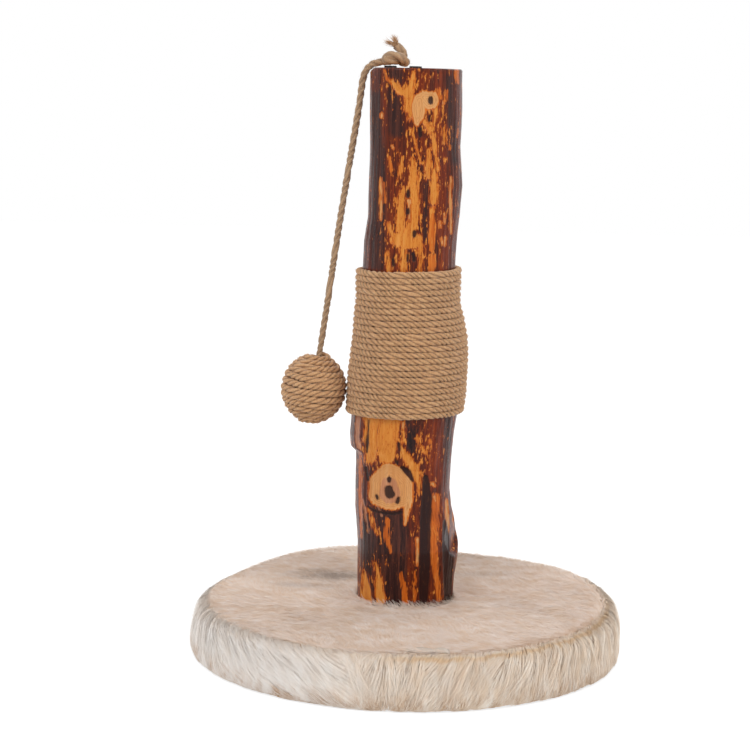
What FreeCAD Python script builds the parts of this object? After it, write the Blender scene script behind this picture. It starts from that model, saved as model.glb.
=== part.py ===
"""Cat scratching post: a varnished log on a fur-covered round base, wrapped with jute rope,
with a jute ball hanging on a cord. Millimetres, +Z up, origin at the middle of the underside."""

import FreeCAD, Part
import math
import os

V = FreeCAD.Vector

# ---- base: two plywood discs, padding and a sewn fur cover ----
board_r = 200.0
board_t = 18.0
felt_t = 2.0
felt_inset = 12.0        # the felt ends this far inside the board's edge
hem_t = 2.0              # fabric of the fur cover where it is turned under
hem_width = 35.0         # how far the hem reaches in under the board
padding_t = 5.0
padding_inset = 1.0
fur_top_t = 8.0          # backing cloth with its flattened pile
fur_top_lip = 4.0        # rounding of its outer edge
fur_side_t = 12.7        # backing cloth with its long pile, beside the board
seam_inset = 10.0        # the seam lies this far inside the widest part of the side
seam_gap = 0.3
seam_bow = 2.9           # how far the side's rounded upper, straight and lower stretches
side_bow = 1.3           # stand out from the lines between their ends
hang_bow = 1.9
side_upper_in = 1.0      # the side's upper end and lower end lie this far inside its widest part
side_lower_in = 1.5
fur_floor_gap = 0.8      # the tips of the side pile end above the floor
fur_hang = 7.0           # width of the rounded lower edge of the side pile
fur_under_rise = 0.2     # the pile under the board's edge rises a little towards the felt
fur_under_in = 2.0
soft_clear = 0.3         # soft pieces stay this far from what they lie beside

# ---- log ----
post_y = 16.0            # the log stands behind the middle of the base
log_height = 550.0
log_head_l = 30.0        # the log runs straight over this length below its top
rim_chamfer = 1.5
rim_facet = 4.0          # depth of the flat filed where the cord goes over the rim
rim_facet_tilt = 45.0
# height above the floor, offset of the middle to the right, radius: as the real log bends
# and swells
LOG_STATIONS = [
    (60.0, -0.2, 49.7), (75.0, 0.0, 50.2), (92.0, 1.0, 51.2), (108.0, 1.6, 52.1),
    (127.0, -0.9, 51.0), (146.0, -3.9, 49.4), (165.0, -5.3, 48.3), (190.0, -4.9, 48.2),
    (203.0, -4.7, 48.7), (208.0, -6.9, 51.7), (221.0, -7.1, 52.7), (234.0, -5.9, 53.2),
    (250.0, -4.7, 54.1), (265.0, -3.7, 54.7), (283.0, -3.0, 54.5), (308.0, -1.5, 53.4),
    (324.0, -1.4, 51.8), (341.0, -2.8, 49.7), (357.0, -4.2, 46.6), (382.0, -4.2, 46.9),
    (402.0, -3.7, 46.4), (418.0, -3.1, 46.4), (442.0, -0.1, 45.8), (475.0, 1.1, 46.7),
    (514.0, -0.3, 45.2), (546.0, -0.1, 45.9),
]
log_foot = (-0.3, 49.5)  # offset and radius where the log stands on the board
log_head = (-0.8, 45.8)  # offset and radius at the sawn top
scar_z = 124.0           # where a side branch low on the right was sawn off flush
scar_r = 22.0
scar_depth = 4.0         # its flat lies this far inside the log's surface
scar_spread = 6.0        # the cut widens by this much on its way out
scar_turn = -16.0        # degrees from +X, towards the front

# ---- rope wrap ----
rope_d = 5.5             # six-millimetre jute rope, pressed together where it is wound
rope_pitch = 6.1
rope_clear = 0.3         # between the rope and what it is wound on
wrap_low = 244.7
wrap_turns = 24
wrap_start = 90.0        # degrees: both rope ends are at the back

# ---- hanging cord ----
cord_d = 6.0
# the cord's route in the plane of the log's middle: right-left, and height above the log's
# sawn top, from the knot that lies there, over the rim and down to the ball
CORD_OVER_RIM = [
    (-36.5, 5.6), (-41.5, 4.9), (-46.3, 2.7), (-50.6, -1.4), (-53.3, -7.4),
    (-54.9, -15.7), (-56.4, -30.0),
]
CORD_DOWN = [(-59.6, -53.0), (-65.6, -92.0), (-76.6, -166.0), (-88.0, -254.0)]
link_drop = 42.0         # the bending stretch over the rim ends this far below the log's top

# ---- ball ----
ball_x = -98.2
ball_drop = 324.1        # from the log's top down to the ball's middle
ball_wide_r = 27.4       # core, half width
ball_high_r = 29.6       # core, half height
ball_pole_top = 7.4      # radius of the first turn, round the cord
ball_pole_low = 6.4      # radius of the last turn
ball_end_lift = 3.0      # the rope's two ends stand up over the turn beside them
bore_clear = 0.4
stop_knot_r = 6.5
stop_knot_h = 11.0
stop_recess_clear = 0.5
stop_recess_depth = 15.0
stop_knot_gap = 0.2
stop_knot_end_r = 4.9

# ---- knot on top of the log, in line with the cord's first run ----
knot_l = 27.5
knot_left_r = 3.6
knot_mid_r = 8.2
knot_right_r = 5.0
knot_right_round = 1.5
loop_r = 6.5             # the strand that crosses over the knot
loop_turn = 38.0
loop_from_right = 8.5
tail_foot = (-18.5, 13.5)
tail_tip = (-28.5, 28.5)
tail_foot_r = 2.7
tail_spread = 5.2        # half width of the frayed end

# ---- fasteners ----
top_screw_x = (-27.0, -2.0)
top_head_r = 6.3
top_head_h = 2.2
top_head_round = 0.9
top_shank_r = 2.0
top_shank_l = 30.0
post_screw_count = 3
post_screw_ring = 28.0
post_screw_r = 3.0
post_screw_l = 90.0
post_head_r = 5.8
board_screw_count = 6
board_screw_inset = 60.0 # from the board's edge in to the ring of screws
board_screw_r = 2.0
board_screw_l = 30.0
board_head_r = 4.0
pilot_clear = 0.1
screw_point_r = 0.2
staple_wire = 0.8
hem_staple_count = 24
hem_staple_inset = 24.0  # from the board's edge in to the ring of staples
hem_staple_w = 10.0
hem_staple_l = 8.0
wrap_staple_w = 10.0
wrap_staple_l = 14.0
# where the rope is stapled: degrees round the log, and the turn of rope
WRAP_STAPLES = [(228.0, 0), (318.0, 0), (96.0, 0), (84.0, 23)]

# ---- sewn label, left blank ----
label_w = 44.0
label_d = 13.0
label_t = 0.6
label_x = 17.0
label_inset = 10.0       # from the seam in to the label's front edge

# ---- places that follow ----
board_low_z = felt_t + hem_t
board_mid_z = board_low_z + board_t
log_foot_z = board_mid_z + board_t
padding_top_z = log_foot_z + padding_t
fur_top_z = padding_top_z + fur_top_t
fur_side_r = board_r + soft_clear + fur_side_t
seam_r = fur_side_r - seam_inset
log_top_z = log_foot_z + log_height
rope_r = rope_d / 2
cord_r = cord_d / 2
knot_seat_z = log_top_z + top_head_h
link_cut_z = log_top_z - link_drop
ball_z = log_top_z - ball_drop
quarter_share = 1 - math.sqrt(0.5)   # a quarter arc's middle lies this far in from its corner


# ---- helpers ----
def cylinder(r, low, high, x=0.0, y=0.0):
    return Part.makeCylinder(r, high - low, V(x, y, low))


def turned(points):
    """A solid of revolution about Z. A point is (radius, height); a middle point of an arc
    has a third entry."""
    edges = []
    at = 0
    last = len(points) - 1
    while at < last:
        start = V(points[at][0], 0, points[at][1])
        if len(points[at + 1]) == 3:
            middle = V(points[at + 1][0], 0, points[at + 1][1])
            end = V(points[at + 2][0], 0, points[at + 2][1])
            edges.append(Part.Arc(start, middle, end).toShape())
            at += 2
        else:
            end = V(points[at + 1][0], 0, points[at + 1][1])
            edges.append(Part.LineSegment(start, end).toShape())
            at += 1
    first = V(points[0][0], 0, points[0][1])
    finish = V(points[last][0], 0, points[last][1])
    edges.append(Part.LineSegment(finish, first).toShape())
    face = Part.Face(Part.Wire(edges))
    return face.revolve(V(0, 0, 0), V(0, 0, 1), 360)


def bowed(start, end, rise):
    """The middle of an arc that stands out by rise to the left of the way from start to end."""
    along = V(end[0] - start[0], 0, end[1] - start[1]).normalize()
    middle_r = (start[0] + end[0]) / 2 - along.z * rise
    return middle_r, (start[1] + end[1]) / 2 + along.x * rise, "arc"


def on_circle(radius, degrees, z=0.0, x=0.0, y=0.0):
    a = math.radians(degrees)
    return V(x + radius * math.cos(a), y + radius * math.sin(a), z)


def spaced(count, ring_r, first=0.0, x=0.0, y=0.0):
    return [on_circle(ring_r, first + 360.0 * i / count, 0, x, y) for i in range(count)]


def countersunk(place, low, shank_r, head_r, length, clear=0.0):
    """A countersunk wood screw that points up, its head flush at low."""
    head = Part.makeCone(head_r + clear, shank_r + clear, head_r - shank_r, V(place.x, place.y, low))
    tip_l = 2 * shank_r
    tip_low = low + length - tip_l
    shank = cylinder(shank_r + clear, low, tip_low, place.x, place.y)
    tip = Part.makeCone(shank_r + clear, screw_point_r + clear, tip_l, V(place.x, place.y, tip_low))
    return head.fuse([shank, tip]).removeSplitter()


def staple(width, length, wire):
    """A staple with its crown along X at z = 0 and its legs pointing down."""
    crown = Part.makeBox(width, wire, wire, V(-width / 2, -wire / 2, -wire))
    legs = []
    for x in (-width / 2, width / 2 - wire):
        legs.append(Part.makeBox(wire, wire, length, V(x, -wire / 2, -length)))
    return crown.fuse(legs).removeSplitter()


def arc_from_tangent(start, corner, end):
    """The arc that leaves start towards corner and arrives at end from corner."""
    half = (end - start).Length / 2
    leg = (corner - start).Length
    middle = (start + end) * 0.5
    rise = corner - middle
    if rise.Length < 1e-6:
        return Part.LineSegment(start, end)
    turn = math.acos(min(1.0, half / leg))
    return Part.Arc(start, middle + rise * (half * math.tan(turn / 2) / rise.Length), end)


def biarc(p, t, q, u):
    """Two arcs from p, along t, to q, along u, that meet tangent in the middle."""
    v = q - p
    s = t + u
    a = s.dot(s) - 4
    b = -2 * v.dot(s)
    c = v.dot(v)
    d = (-b - math.sqrt(b * b - 4 * a * c)) / (2 * a)
    first = p + t * d
    second = q - u * d
    joint = (first + second) * 0.5
    return [arc_from_tangent(p, first, joint), arc_from_tangent(joint, second, q)]


def winding_path(curve, turns, steps_per_turn, lead):
    """The biarcs of a winding, with a straight lead at both ends. curve gives a point for a
    number of turns."""
    count = int(round(turns * steps_per_turn))
    small = 1e-4
    points = []
    tangents = []
    for i in range(count + 1):
        t = turns * i / count
        points.append(curve(t))
        ahead = curve(min(t + small, turns)) - curve(max(t - small, 0.0))
        tangents.append(ahead.normalize())
    pieces = [Part.LineSegment(points[0] - tangents[0] * lead, points[0])]
    for i in range(count):
        pieces += biarc(points[i], tangents[i], points[i + 1], tangents[i + 1])
    pieces.append(Part.LineSegment(points[-1], points[-1] + tangents[-1] * lead))
    return pieces


def swept(pieces, radius, name):
    """A round tube along lines and arcs; prints its volume against section times length."""
    edges = [piece.toShape() for piece in pieces]
    wire = Part.Wire(edges)
    first = edges[0]
    start = first.valueAt(first.FirstParameter)
    along = first.tangentAt(first.FirstParameter)
    section = Part.Wire(Part.makeCircle(radius, start, along))
    shell = Part.BRepOffsetAPI.MakePipeShell(wire)
    shell.add(section)
    shell.build()
    shell.makeSolid()
    solid = shell.shape()
    if solid.ShapeType != "Solid":
        solid = Part.Solid(solid)
    if solid.Volume < 0:
        solid.reverse()
    share = solid.Volume / (math.pi * radius * radius * wire.Length)
    print(f"{name}: length {wire.Length:.0f} mm, volume share {share:.4f}, valid {solid.isValid()}")
    return solid


def print_gap(pieces, radius, turn_length, name):
    """The least gap of a wound tube to itself, measured on points along it."""
    points = []
    run = 0.0
    for piece in pieces:
        edge = piece.toShape()
        number = max(2, int(edge.Length / 1.5))
        for k in range(number):
            at = edge.FirstParameter + (edge.LastParameter - edge.FirstParameter) * k / number
            points.append((run + edge.Length * k / number, edge.valueAt(at)))
        run += edge.Length
    cells = {}
    size = 8.0
    for along, p in points:
        key = (int(p.x // size), int(p.y // size), int(p.z // size))
        cells.setdefault(key, []).append((along, p))
    least = 1e9
    for along, p in points:
        kx, ky, kz = int(p.x // size), int(p.y // size), int(p.z // size)
        for dx in (-1, 0, 1):
            for dy in (-1, 0, 1):
                for dz in (-1, 0, 1):
                    for other, q in cells.get((kx + dx, ky + dy, kz + dz), []):
                        if abs(other - along) > turn_length:
                            least = min(least, (p - q).Length)
    print(f"{name}: least gap to itself {least - 2 * radius:.2f} mm")


def rounded_route(points):
    """Straight runs joined by tangent arcs, each as large as its two runs allow."""
    pieces = []
    at = points[0]
    radii = []
    for before, corner, after in zip(points, points[1:], points[2:]):
        into = (corner - before)
        out = (after - corner)
        shorter = min(into.Length, out.Length)
        half_turn = into.getAngle(out) / 2
        cut = 0.45 * shorter
        radius = cut / math.tan(half_turn)
        start = corner - into.normalize() * cut
        end = corner + out.normalize() * cut
        pieces.append(Part.LineSegment(at, start))
        pieces.append(arc_from_tangent(start, corner, end))
        radii.append(round(radius, 1))
        at = end
    pieces.append(Part.LineSegment(at, points[-1]))
    print("cord radii:", radii)
    return pieces


# ---- the log's shape ----
def log_profile():
    """The log's stations from the board to the sawn top."""
    foot = (log_foot_z, log_foot[0], log_foot[1])
    head = (log_top_z, log_head[0], log_head[1])
    return [foot] + [s for s in LOG_STATIONS if s[0] < log_top_z - log_head_l] + [head]


def log_at(z):
    """Offset to the right and radius of the log at a height."""
    profile = log_profile()
    for (z0, x0, r0), (z1, x1, r1) in zip(profile, profile[1:]):
        if z <= z1:
            share = (z - z0) / (z1 - z0)
            return x0 + (x1 - x0) * share, r0 + (r1 - r0) * share
    return profile[-1][1], profile[-1][2]


def wrap_point(turn):
    z = wrap_low + rope_pitch * turn
    x, r = log_at(z)
    return on_circle(r + rope_clear + rope_r, wrap_start + 360.0 * turn, z, x, post_y)


def cord_point(place):
    """A point of the cord's route from its place beside and above the log's sawn top."""
    return V(place[0], post_y, log_top_z + place[1])


# ---- the ball's shape ----
ball_centre = V(ball_x, post_y, ball_z)


def ball_axis():
    """The cord's last run points through the middle of the ball."""
    return (ball_centre - cord_point(CORD_DOWN[-1])).normalize()


def ball_frame(shape):
    """Turns a shape made upright about the origin into the ball's place and lean."""
    down = ball_axis()
    lean = math.degrees(math.atan2(-down.x, -down.z))
    placed = shape.copy()
    placed.rotate(V(0, 0, 0), V(0, 1, 0), lean)
    placed.translate(ball_centre)
    return placed


def winding_meridian():
    """Angles from the top of the ball at which each turn of rope starts, a pitch apart."""
    wide = ball_wide_r + rope_clear + rope_r
    high = ball_high_r + rope_clear + rope_r
    first = math.asin(ball_pole_top / wide)
    last = math.pi - math.asin(ball_pole_low / wide)
    steps = 720
    travelled = [0.0]
    angles = [first]
    for i in range(steps):
        angle = first + (last - first) * (i + 0.5) / steps
        speed = math.hypot(wide * math.cos(angle), high * math.sin(angle))
        travelled.append(travelled[-1] + speed * (last - first) / steps)
        angles.append(first + (last - first) * (i + 1) / steps)
    return wide, high, travelled, angles


def ball_turns():
    return int(winding_meridian()[2][-1] / rope_pitch)


def ball_curve():
    wide, high, travelled, angles = winding_meridian()
    turns = ball_turns()

    def point(turn):
        want = travelled[-1] * turn / turns
        low, top = 0, len(travelled) - 1
        while top - low > 1:
            mid = (low + top) // 2
            if travelled[mid] <= want:
                low = mid
            else:
                top = mid
        share = (want - travelled[low]) / (travelled[top] - travelled[low])
        angle = angles[low] + (angles[top] - angles[low]) * share
        round_it = math.radians(wrap_start) - 2 * math.pi * turn
        r = wide * math.sin(angle)
        lift = ball_end_lift * (max(0.0, 1 - turn) ** 2 - max(0.0, turn - turns + 1) ** 2)
        return V(r * math.cos(round_it), r * math.sin(round_it), high * math.cos(angle) + lift)

    return point


# ---- the cord ----
def cord_route():
    points = [cord_point(place) for place in CORD_OVER_RIM + CORD_DOWN]
    points.append(ball_centre + ball_axis() * stop_knot_top())
    return points


def stop_recess_top():
    """How far below the ball's middle the recess for the stop knot ends."""
    return ball_high_r - stop_recess_depth


def stop_knot_top():
    return stop_recess_top() + stop_knot_gap


def cord_solids():
    """The bending stretch over the rim and the hanging stretch, cut at one height."""
    pieces = rounded_route(cord_route())
    whole = swept(pieces, cord_r, "cord")
    over = Part.makeBox(board_r, board_r, log_top_z, V(-board_r, post_y - board_r / 2, link_cut_z))
    return whole.common(over), whole.cut(over)


# ---- sub-parts ----
def screw_holes():
    holes = [countersunk(p, board_low_z, post_screw_r, post_head_r, post_screw_l, pilot_clear)
             for p in post_screw_places()]
    holes += [countersunk(p, board_low_z, board_screw_r, board_head_r, board_screw_l, pilot_clear)
              for p in board_screw_places()]
    return holes


def post_screw_places():
    return spaced(post_screw_count, post_screw_ring, 90.0, log_foot[0], post_y)


def board_screw_places():
    return spaced(board_screw_count, board_r - board_screw_inset, 30.0)


def underside_felt():
    return cylinder(board_r - felt_inset, 0, felt_t)


def base_board_lower():
    return cylinder(board_r, board_low_z, board_mid_z).cut(screw_holes())


def base_board_upper():
    return cylinder(board_r, board_mid_z, log_foot_z).cut(screw_holes())


def post_hole(clear, low, high):
    x, r = log_at(high)
    wider = max(log_at(low)[1], r)
    return cylinder(wider + clear, low, high, x, post_y)


def top_padding():
    disc = cylinder(board_r - padding_inset, log_foot_z, padding_top_z)
    return disc.cut(post_hole(soft_clear, log_foot_z, padding_top_z))


def fur_top_panel():
    edge = seam_r - seam_gap
    lip = fur_top_lip
    middle = (edge - lip * quarter_share, fur_top_z - lip * quarter_share, "arc")
    disc = turned([(0, padding_top_z), (edge, padding_top_z), (edge, fur_top_z - lip), middle,
                   (edge - lip, fur_top_z), (0, fur_top_z)])
    return disc.cut(post_hole(soft_clear, padding_top_z, fur_top_z))


def fur_side_band():
    """The side of the cover, its rounded seam ridge and the hem under the board."""
    inner = board_r + soft_clear
    hem_in = board_r - hem_width
    low = fur_floor_gap
    seam = (seam_r, fur_top_z)
    upper = (fur_side_r - side_upper_in, fur_top_z - seam_inset)
    lower = (fur_side_r - side_lower_in, fur_hang)
    under = (fur_side_r - fur_hang, low)
    return turned([
        (hem_in, felt_t), (hem_in, board_low_z), (inner, board_low_z), (inner, padding_top_z),
        (seam_r, padding_top_z), seam, bowed(seam, upper, seam_bow), upper,
        bowed(upper, lower, side_bow), lower, bowed(lower, under, hang_bow), under,
        (board_r, low + fur_under_rise), (board_r - fur_under_in, felt_t),
    ])


def log_post():
    circles = []
    profile = log_profile()
    top = profile[-1]
    profile = profile[:-1] + [(top[0] - rim_chamfer, top[1], top[2]),
                              (top[0], top[1], top[2] - rim_chamfer)]
    for z, x, r in profile:
        circles.append(Part.Wire(Part.makeCircle(r, V(x, post_y, z), V(0, 0, 1))))
    log = Part.makeLoft(circles, True, True)
    x, r = log_at(scar_z)
    scar = Part.makeCone(scar_r, scar_r + scar_spread, 2 * scar_depth, V(r - scar_depth, 0, 0), V(1, 0, 0))
    scar.rotate(V(0, 0, 0), V(0, 0, 1), scar_turn)
    scar.translate(V(x, post_y, scar_z))
    left = log_head[0] - log_head[1]
    reach = log_head[1]
    filed = Part.makeBox(2 * reach, 4 * reach, reach, V(-reach, -2 * reach, 0))
    filed.rotate(V(0, 0, 0), V(0, 1, 0), -rim_facet_tilt)
    filed.translate(V(left, post_y, log_top_z - rim_facet))
    holes = screw_holes() + [top_pilot(x) for x in top_screw_x]
    return log.cut([filed, scar] + holes)


def top_pilot(x):
    return cylinder(top_shank_r + pilot_clear, log_top_z - top_shank_l, knot_seat_z, x, post_y)


def top_screws():
    screws = []
    for x in top_screw_x:
        head = cylinder(top_head_r, log_top_z, knot_seat_z, x, post_y)
        rounded = head.makeFillet(top_head_round, [head.Edges[0]])
        shank = cylinder(top_shank_r, log_top_z - top_shank_l, log_top_z, x, post_y)
        screws.append(rounded.fuse(shank).removeSplitter())
    return Part.makeCompound(screws)


def post_screws():
    return Part.makeCompound([
        countersunk(p, board_low_z, post_screw_r, post_head_r, post_screw_l)
        for p in post_screw_places()])


def board_screws():
    return Part.makeCompound([
        countersunk(p, board_low_z, board_screw_r, board_head_r, board_screw_l)
        for p in board_screw_places()])


def hem_staples():
    """Staples through the hem into the lower board, their crowns up in the cloth."""
    made = []
    for i in range(hem_staple_count):
        turn = 360.0 * i / hem_staple_count
        one = staple(hem_staple_w, hem_staple_l, staple_wire)
        one.rotate(V(0, 0, 0), V(1, 0, 0), 180)
        one.rotate(V(0, 0, 0), V(0, 0, 1), turn + 90)
        one.translate(on_circle(board_r - hem_staple_inset, turn, felt_t))
        made.append(one)
    return Part.makeCompound(made)


def wrap_staples():
    """Staples over single turns of the rope, driven into the log."""
    made = []
    for degrees, turn in WRAP_STAPLES:
        share = ((degrees - wrap_start) / 360.0) % 1.0
        place = wrap_point(turn + share)
        z = place.z
        x = log_at(z)[0]
        out = V(place.x - x, place.y - post_y, 0).normalize()
        one = staple(wrap_staple_w, wrap_staple_l, staple_wire)
        one.rotate(V(0, 0, 0), V(0, 0, 1), 90)
        one.rotate(V(0, 0, 0), V(0, 1, 0), 90)
        one.rotate(V(0, 0, 0), V(0, 0, 1), degrees)
        one.translate(place + out * rope_r)
        made.append(one)
    return Part.makeCompound(made)


def rope_wrap():
    pieces = winding_path(wrap_point, wrap_turns, 2, rope_d)
    print_gap(pieces, rope_r, 60.0, "rope_wrap")
    return swept(pieces, rope_r, "rope_wrap")


def hanging_knot():
    """The knot's round body with one strand crossing over it, lying on the screw's head."""
    body = turned([(0, 0), (knot_left_r, 0), (knot_mid_r, knot_l / 2, "arc"),
                   (knot_right_r, knot_l - knot_right_round), (0, knot_l)])
    loop = Part.makeTorus(loop_r, cord_r, V(0, 0, 0), V(0, 0, 1))
    loop.rotate(V(0, 0, 0), V(0, 1, 0), -loop_turn)
    loop.translate(V(0, 0, knot_l - loop_from_right))
    knot = body.fuse(loop).removeSplitter()
    start = cord_point(CORD_OVER_RIM[0])
    run = start - cord_point(CORD_OVER_RIM[1])
    knot.rotate(V(0, 0, 0), V(0, 1, 0), math.degrees(math.atan2(run.x, run.z)))
    knot.translate(start)
    seat_r = log_head[1]
    return knot.cut(cylinder(seat_r, log_top_z - knot_mid_r, knot_seat_z, log_head[0], post_y))


def cord_tail():
    foot = cord_point(tail_foot)
    along = cord_point(tail_tip) - foot
    cone = Part.makeCone(tail_foot_r, tail_spread, along.Length, foot, along)
    return cone.cut(hanging_knot())


def ball_core():
    """A turned ball, bored for the cord and recessed below for the stop knot."""
    ball = Part.makeSphere(1.0)
    stretch = FreeCAD.Matrix()
    stretch.scale(ball_wide_r, ball_wide_r, ball_high_r)
    ball = ball.transformGeometry(stretch)
    bore = cylinder(cord_r + bore_clear, -ball_high_r - 1, ball_high_r + 1)
    recess = cylinder(stop_knot_r + stop_recess_clear, -ball_high_r - 1, -stop_recess_top())
    return ball_frame(ball.cut([bore, recess]))


def ball_winding():
    pieces = winding_path(ball_curve(), ball_turns(), 4, rope_d)
    print("ball turns:", ball_turns())
    print_gap(pieces, rope_r, 30.0, "ball_winding")
    return ball_frame(swept(pieces, rope_r, "ball_winding"))


def ball_stop_knot():
    """The knot at the cord's end, below the core, that the ball hangs on."""
    top = -stop_knot_top()
    low = top - stop_knot_h
    end_r = stop_knot_end_r
    return ball_frame(turned([(0, top), (end_r, top), (stop_knot_r, (top + low) / 2, "arc"),
                              (end_r, low), (0, low)]))


def blank_label():
    front = label_inset - seam_r
    return Part.makeBox(label_w, label_d, label_t, V(label_x - label_w / 2, front, fur_top_z))


def save(name, shape):
    if not shape.isValid():
        print("NOT VALID:", name)
    shape.exportStep(f"parts/{name}.step")
    print(f"{name}: {len(shape.Solids)} solid(s), {shape.Volume / 1000:.1f} cm3")


def main():
    os.makedirs("parts", exist_ok=True)
    over_rim, hanging = cord_solids()
    save("underside_felt", underside_felt())
    save("base_board_lower", base_board_lower())
    save("base_board_upper", base_board_upper())
    save("board_screws", board_screws())
    save("hem_staples", hem_staples())
    save("top_padding", top_padding())
    save("fur_top_panel", fur_top_panel())
    save("fur_side_band", fur_side_band())
    save("blank_label", blank_label())
    save("log_post", log_post())
    save("post_screws", post_screws())
    save("rope_wrap", rope_wrap())
    save("wrap_staples", wrap_staples())
    save("top_screws", top_screws())
    save("hanging_knot", hanging_knot())
    save("cord_tail", cord_tail())
    save("cord_over_rim", over_rim)
    save("hanging_cord", hanging)
    save("ball_core", ball_core())
    save("ball_winding", ball_winding())
    save("ball_stop_knot", ball_stop_knot())


main()
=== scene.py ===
# Cat scratching post: the finish of a varnished log, jute ropes and a faux-fur base round the frame
import math
import random

import bmesh
import bpy
import numpy as np
from mathutils import Matrix, Vector, noise
from mathutils.bvhtree import BVHTree


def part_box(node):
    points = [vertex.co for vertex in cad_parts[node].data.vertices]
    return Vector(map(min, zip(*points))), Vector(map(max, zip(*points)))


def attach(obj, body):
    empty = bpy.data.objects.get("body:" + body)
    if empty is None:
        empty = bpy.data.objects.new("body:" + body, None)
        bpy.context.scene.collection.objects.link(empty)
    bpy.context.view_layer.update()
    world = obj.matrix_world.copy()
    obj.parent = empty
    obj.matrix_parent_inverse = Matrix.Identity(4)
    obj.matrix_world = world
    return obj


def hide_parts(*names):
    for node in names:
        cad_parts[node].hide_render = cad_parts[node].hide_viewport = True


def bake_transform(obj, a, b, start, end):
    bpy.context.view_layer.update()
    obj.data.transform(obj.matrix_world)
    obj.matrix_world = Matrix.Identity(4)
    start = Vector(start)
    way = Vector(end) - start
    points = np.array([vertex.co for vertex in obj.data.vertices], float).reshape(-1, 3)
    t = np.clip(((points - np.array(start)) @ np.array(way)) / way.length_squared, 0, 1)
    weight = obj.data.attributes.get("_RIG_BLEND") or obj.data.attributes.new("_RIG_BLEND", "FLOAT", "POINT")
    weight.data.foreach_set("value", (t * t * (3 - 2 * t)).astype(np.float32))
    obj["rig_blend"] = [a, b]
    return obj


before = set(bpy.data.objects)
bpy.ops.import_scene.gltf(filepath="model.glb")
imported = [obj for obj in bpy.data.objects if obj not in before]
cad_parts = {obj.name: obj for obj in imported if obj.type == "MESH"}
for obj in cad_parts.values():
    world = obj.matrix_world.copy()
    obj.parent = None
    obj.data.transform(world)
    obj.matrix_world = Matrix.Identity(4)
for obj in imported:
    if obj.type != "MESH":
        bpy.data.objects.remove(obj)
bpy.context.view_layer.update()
print("frame loaded:", len(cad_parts), "nodes")

mm = 0.001
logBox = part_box("log_post")
logTop = logBox[1].z
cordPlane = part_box("hanging_cord")[0].y / 2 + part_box("hanging_cord")[1].y / 2


def tone(red, green, blue):  # a colour as a screen shows it, 0 to 255
    linear = []
    for value in (red, green, blue):
        share = value / 255
        linear.append(share / 12.92 if share < 0.04045 else ((share + 0.055) / 1.055) ** 2.4)
    return (*linear, 1.0)


def newPiece(name, mesh, material=None, smooth=True):
    if smooth:
        mesh.shade_smooth()
    piece = bpy.data.objects.new(name, mesh)
    bpy.context.scene.collection.objects.link(piece)
    if material:
        mesh.materials.append(material)
    return piece


def meshFrom(name, bm):
    mesh = bpy.data.meshes.new(name)
    bm.to_mesh(mesh)
    bm.free()
    return mesh


# node helpers: a socket as a value makes a link, anything else is set on the socket itself
def feed(tree, node, key, value):
    if isinstance(value, bpy.types.NodeSocket):
        tree.links.new(value, node.inputs[key])
    else:
        node.inputs[key].default_value = value


def addNode(tree, kind, options=None, values=None):
    node = tree.nodes.new(kind)
    for key, value in (options or {}).items():
        setattr(node, key, value)
    for key, value in (values or {}).items():
        feed(tree, node, key, value)
    return node


def noiseOf(tree, vector, scale, detail=3.0, roughness=0.55, distortion=0.0):
    values = {"Vector": vector, "Scale": scale, "Detail": detail, "Roughness": roughness,
              "Distortion": distortion}
    return addNode(tree, "ShaderNodeTexNoise", None, values).outputs["Fac"]


def stretch(tree, vector, scale, turn=(0, 0, 0), move=(0, 0, 0)):
    values = {"Vector": vector, "Scale": scale, "Rotation": turn, "Location": move}
    return addNode(tree, "ShaderNodeMapping", None, values).outputs["Vector"]


def calc(tree, operation, first, second=0.5, third=None, clamp=False):
    node = addNode(tree, "ShaderNodeMath", {"operation": operation, "use_clamp": clamp},
                   {0: first, 1: second})
    if third is not None:
        feed(tree, node, 2, third)
    return node.outputs[0]


def times(tree, first, second):
    return calc(tree, "MULTIPLY", first, second)


def plus(tree, first, second):
    return calc(tree, "ADD", first, second)


def splitUp(tree, vector):  # the X, Y and Z of a vector
    return addNode(tree, "ShaderNodeSeparateXYZ", None, {0: vector}).outputs


def lengthOf(tree, vector):
    return addNode(tree, "ShaderNodeVectorMath", {"operation": "LENGTH"}, {0: vector}).outputs["Value"]


def rangeOf(tree, value, low, high, newLow=0.0, newHigh=1.0, kind="SMOOTHSTEP"):
    values = {"Value": value, "From Min": low, "From Max": high, "To Min": newLow, "To Max": newHigh}
    return addNode(tree, "ShaderNodeMapRange", {"interpolation_type": kind}, values).outputs["Result"]


def mixColour(tree, share, first, second, blend="MIX"):
    node = addNode(tree, "ShaderNodeMix", {"data_type": "RGBA", "blend_type": blend})
    feed(tree, node, 0, share)
    feed(tree, node, 6, first)
    feed(tree, node, 7, second)
    return node.outputs[2]


def rampOf(tree, value, stops):
    node = addNode(tree, "ShaderNodeValToRGB", None, {"Fac": value})
    elements = node.color_ramp.elements
    while len(elements) < len(stops):
        elements.new(0.5)
    for element, (place, colour) in zip(elements, stops):
        element.position = place
        element.color = colour
    return node.outputs["Color"]


def startMaterial(name, **sockets):
    material = bpy.data.materials.new(name)
    material.use_nodes = True
    shader = material.node_tree.nodes["Principled BSDF"]
    for key, value in sockets.items():
        shader.inputs[key.replace("_", " ")].default_value = value
    return material, material.node_tree, shader


def paint(tree, shader, colour):
    tree.links.new(colour, shader.inputs["Base Color"])


def finishBump(tree, shader, height, strength, distance):
    bump = addNode(tree, "ShaderNodeBump", None,
                   {"Height": height, "Strength": strength, "Distance": distance})
    tree.links.new(bump.outputs["Normal"], shader.inputs["Normal"])


# the camera stands at the photograph's angle
camera = {"place": (-0.036, -1.9, 0.566), "down": 8.47, "roll": 1.2, "lens": 91.2}

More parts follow.
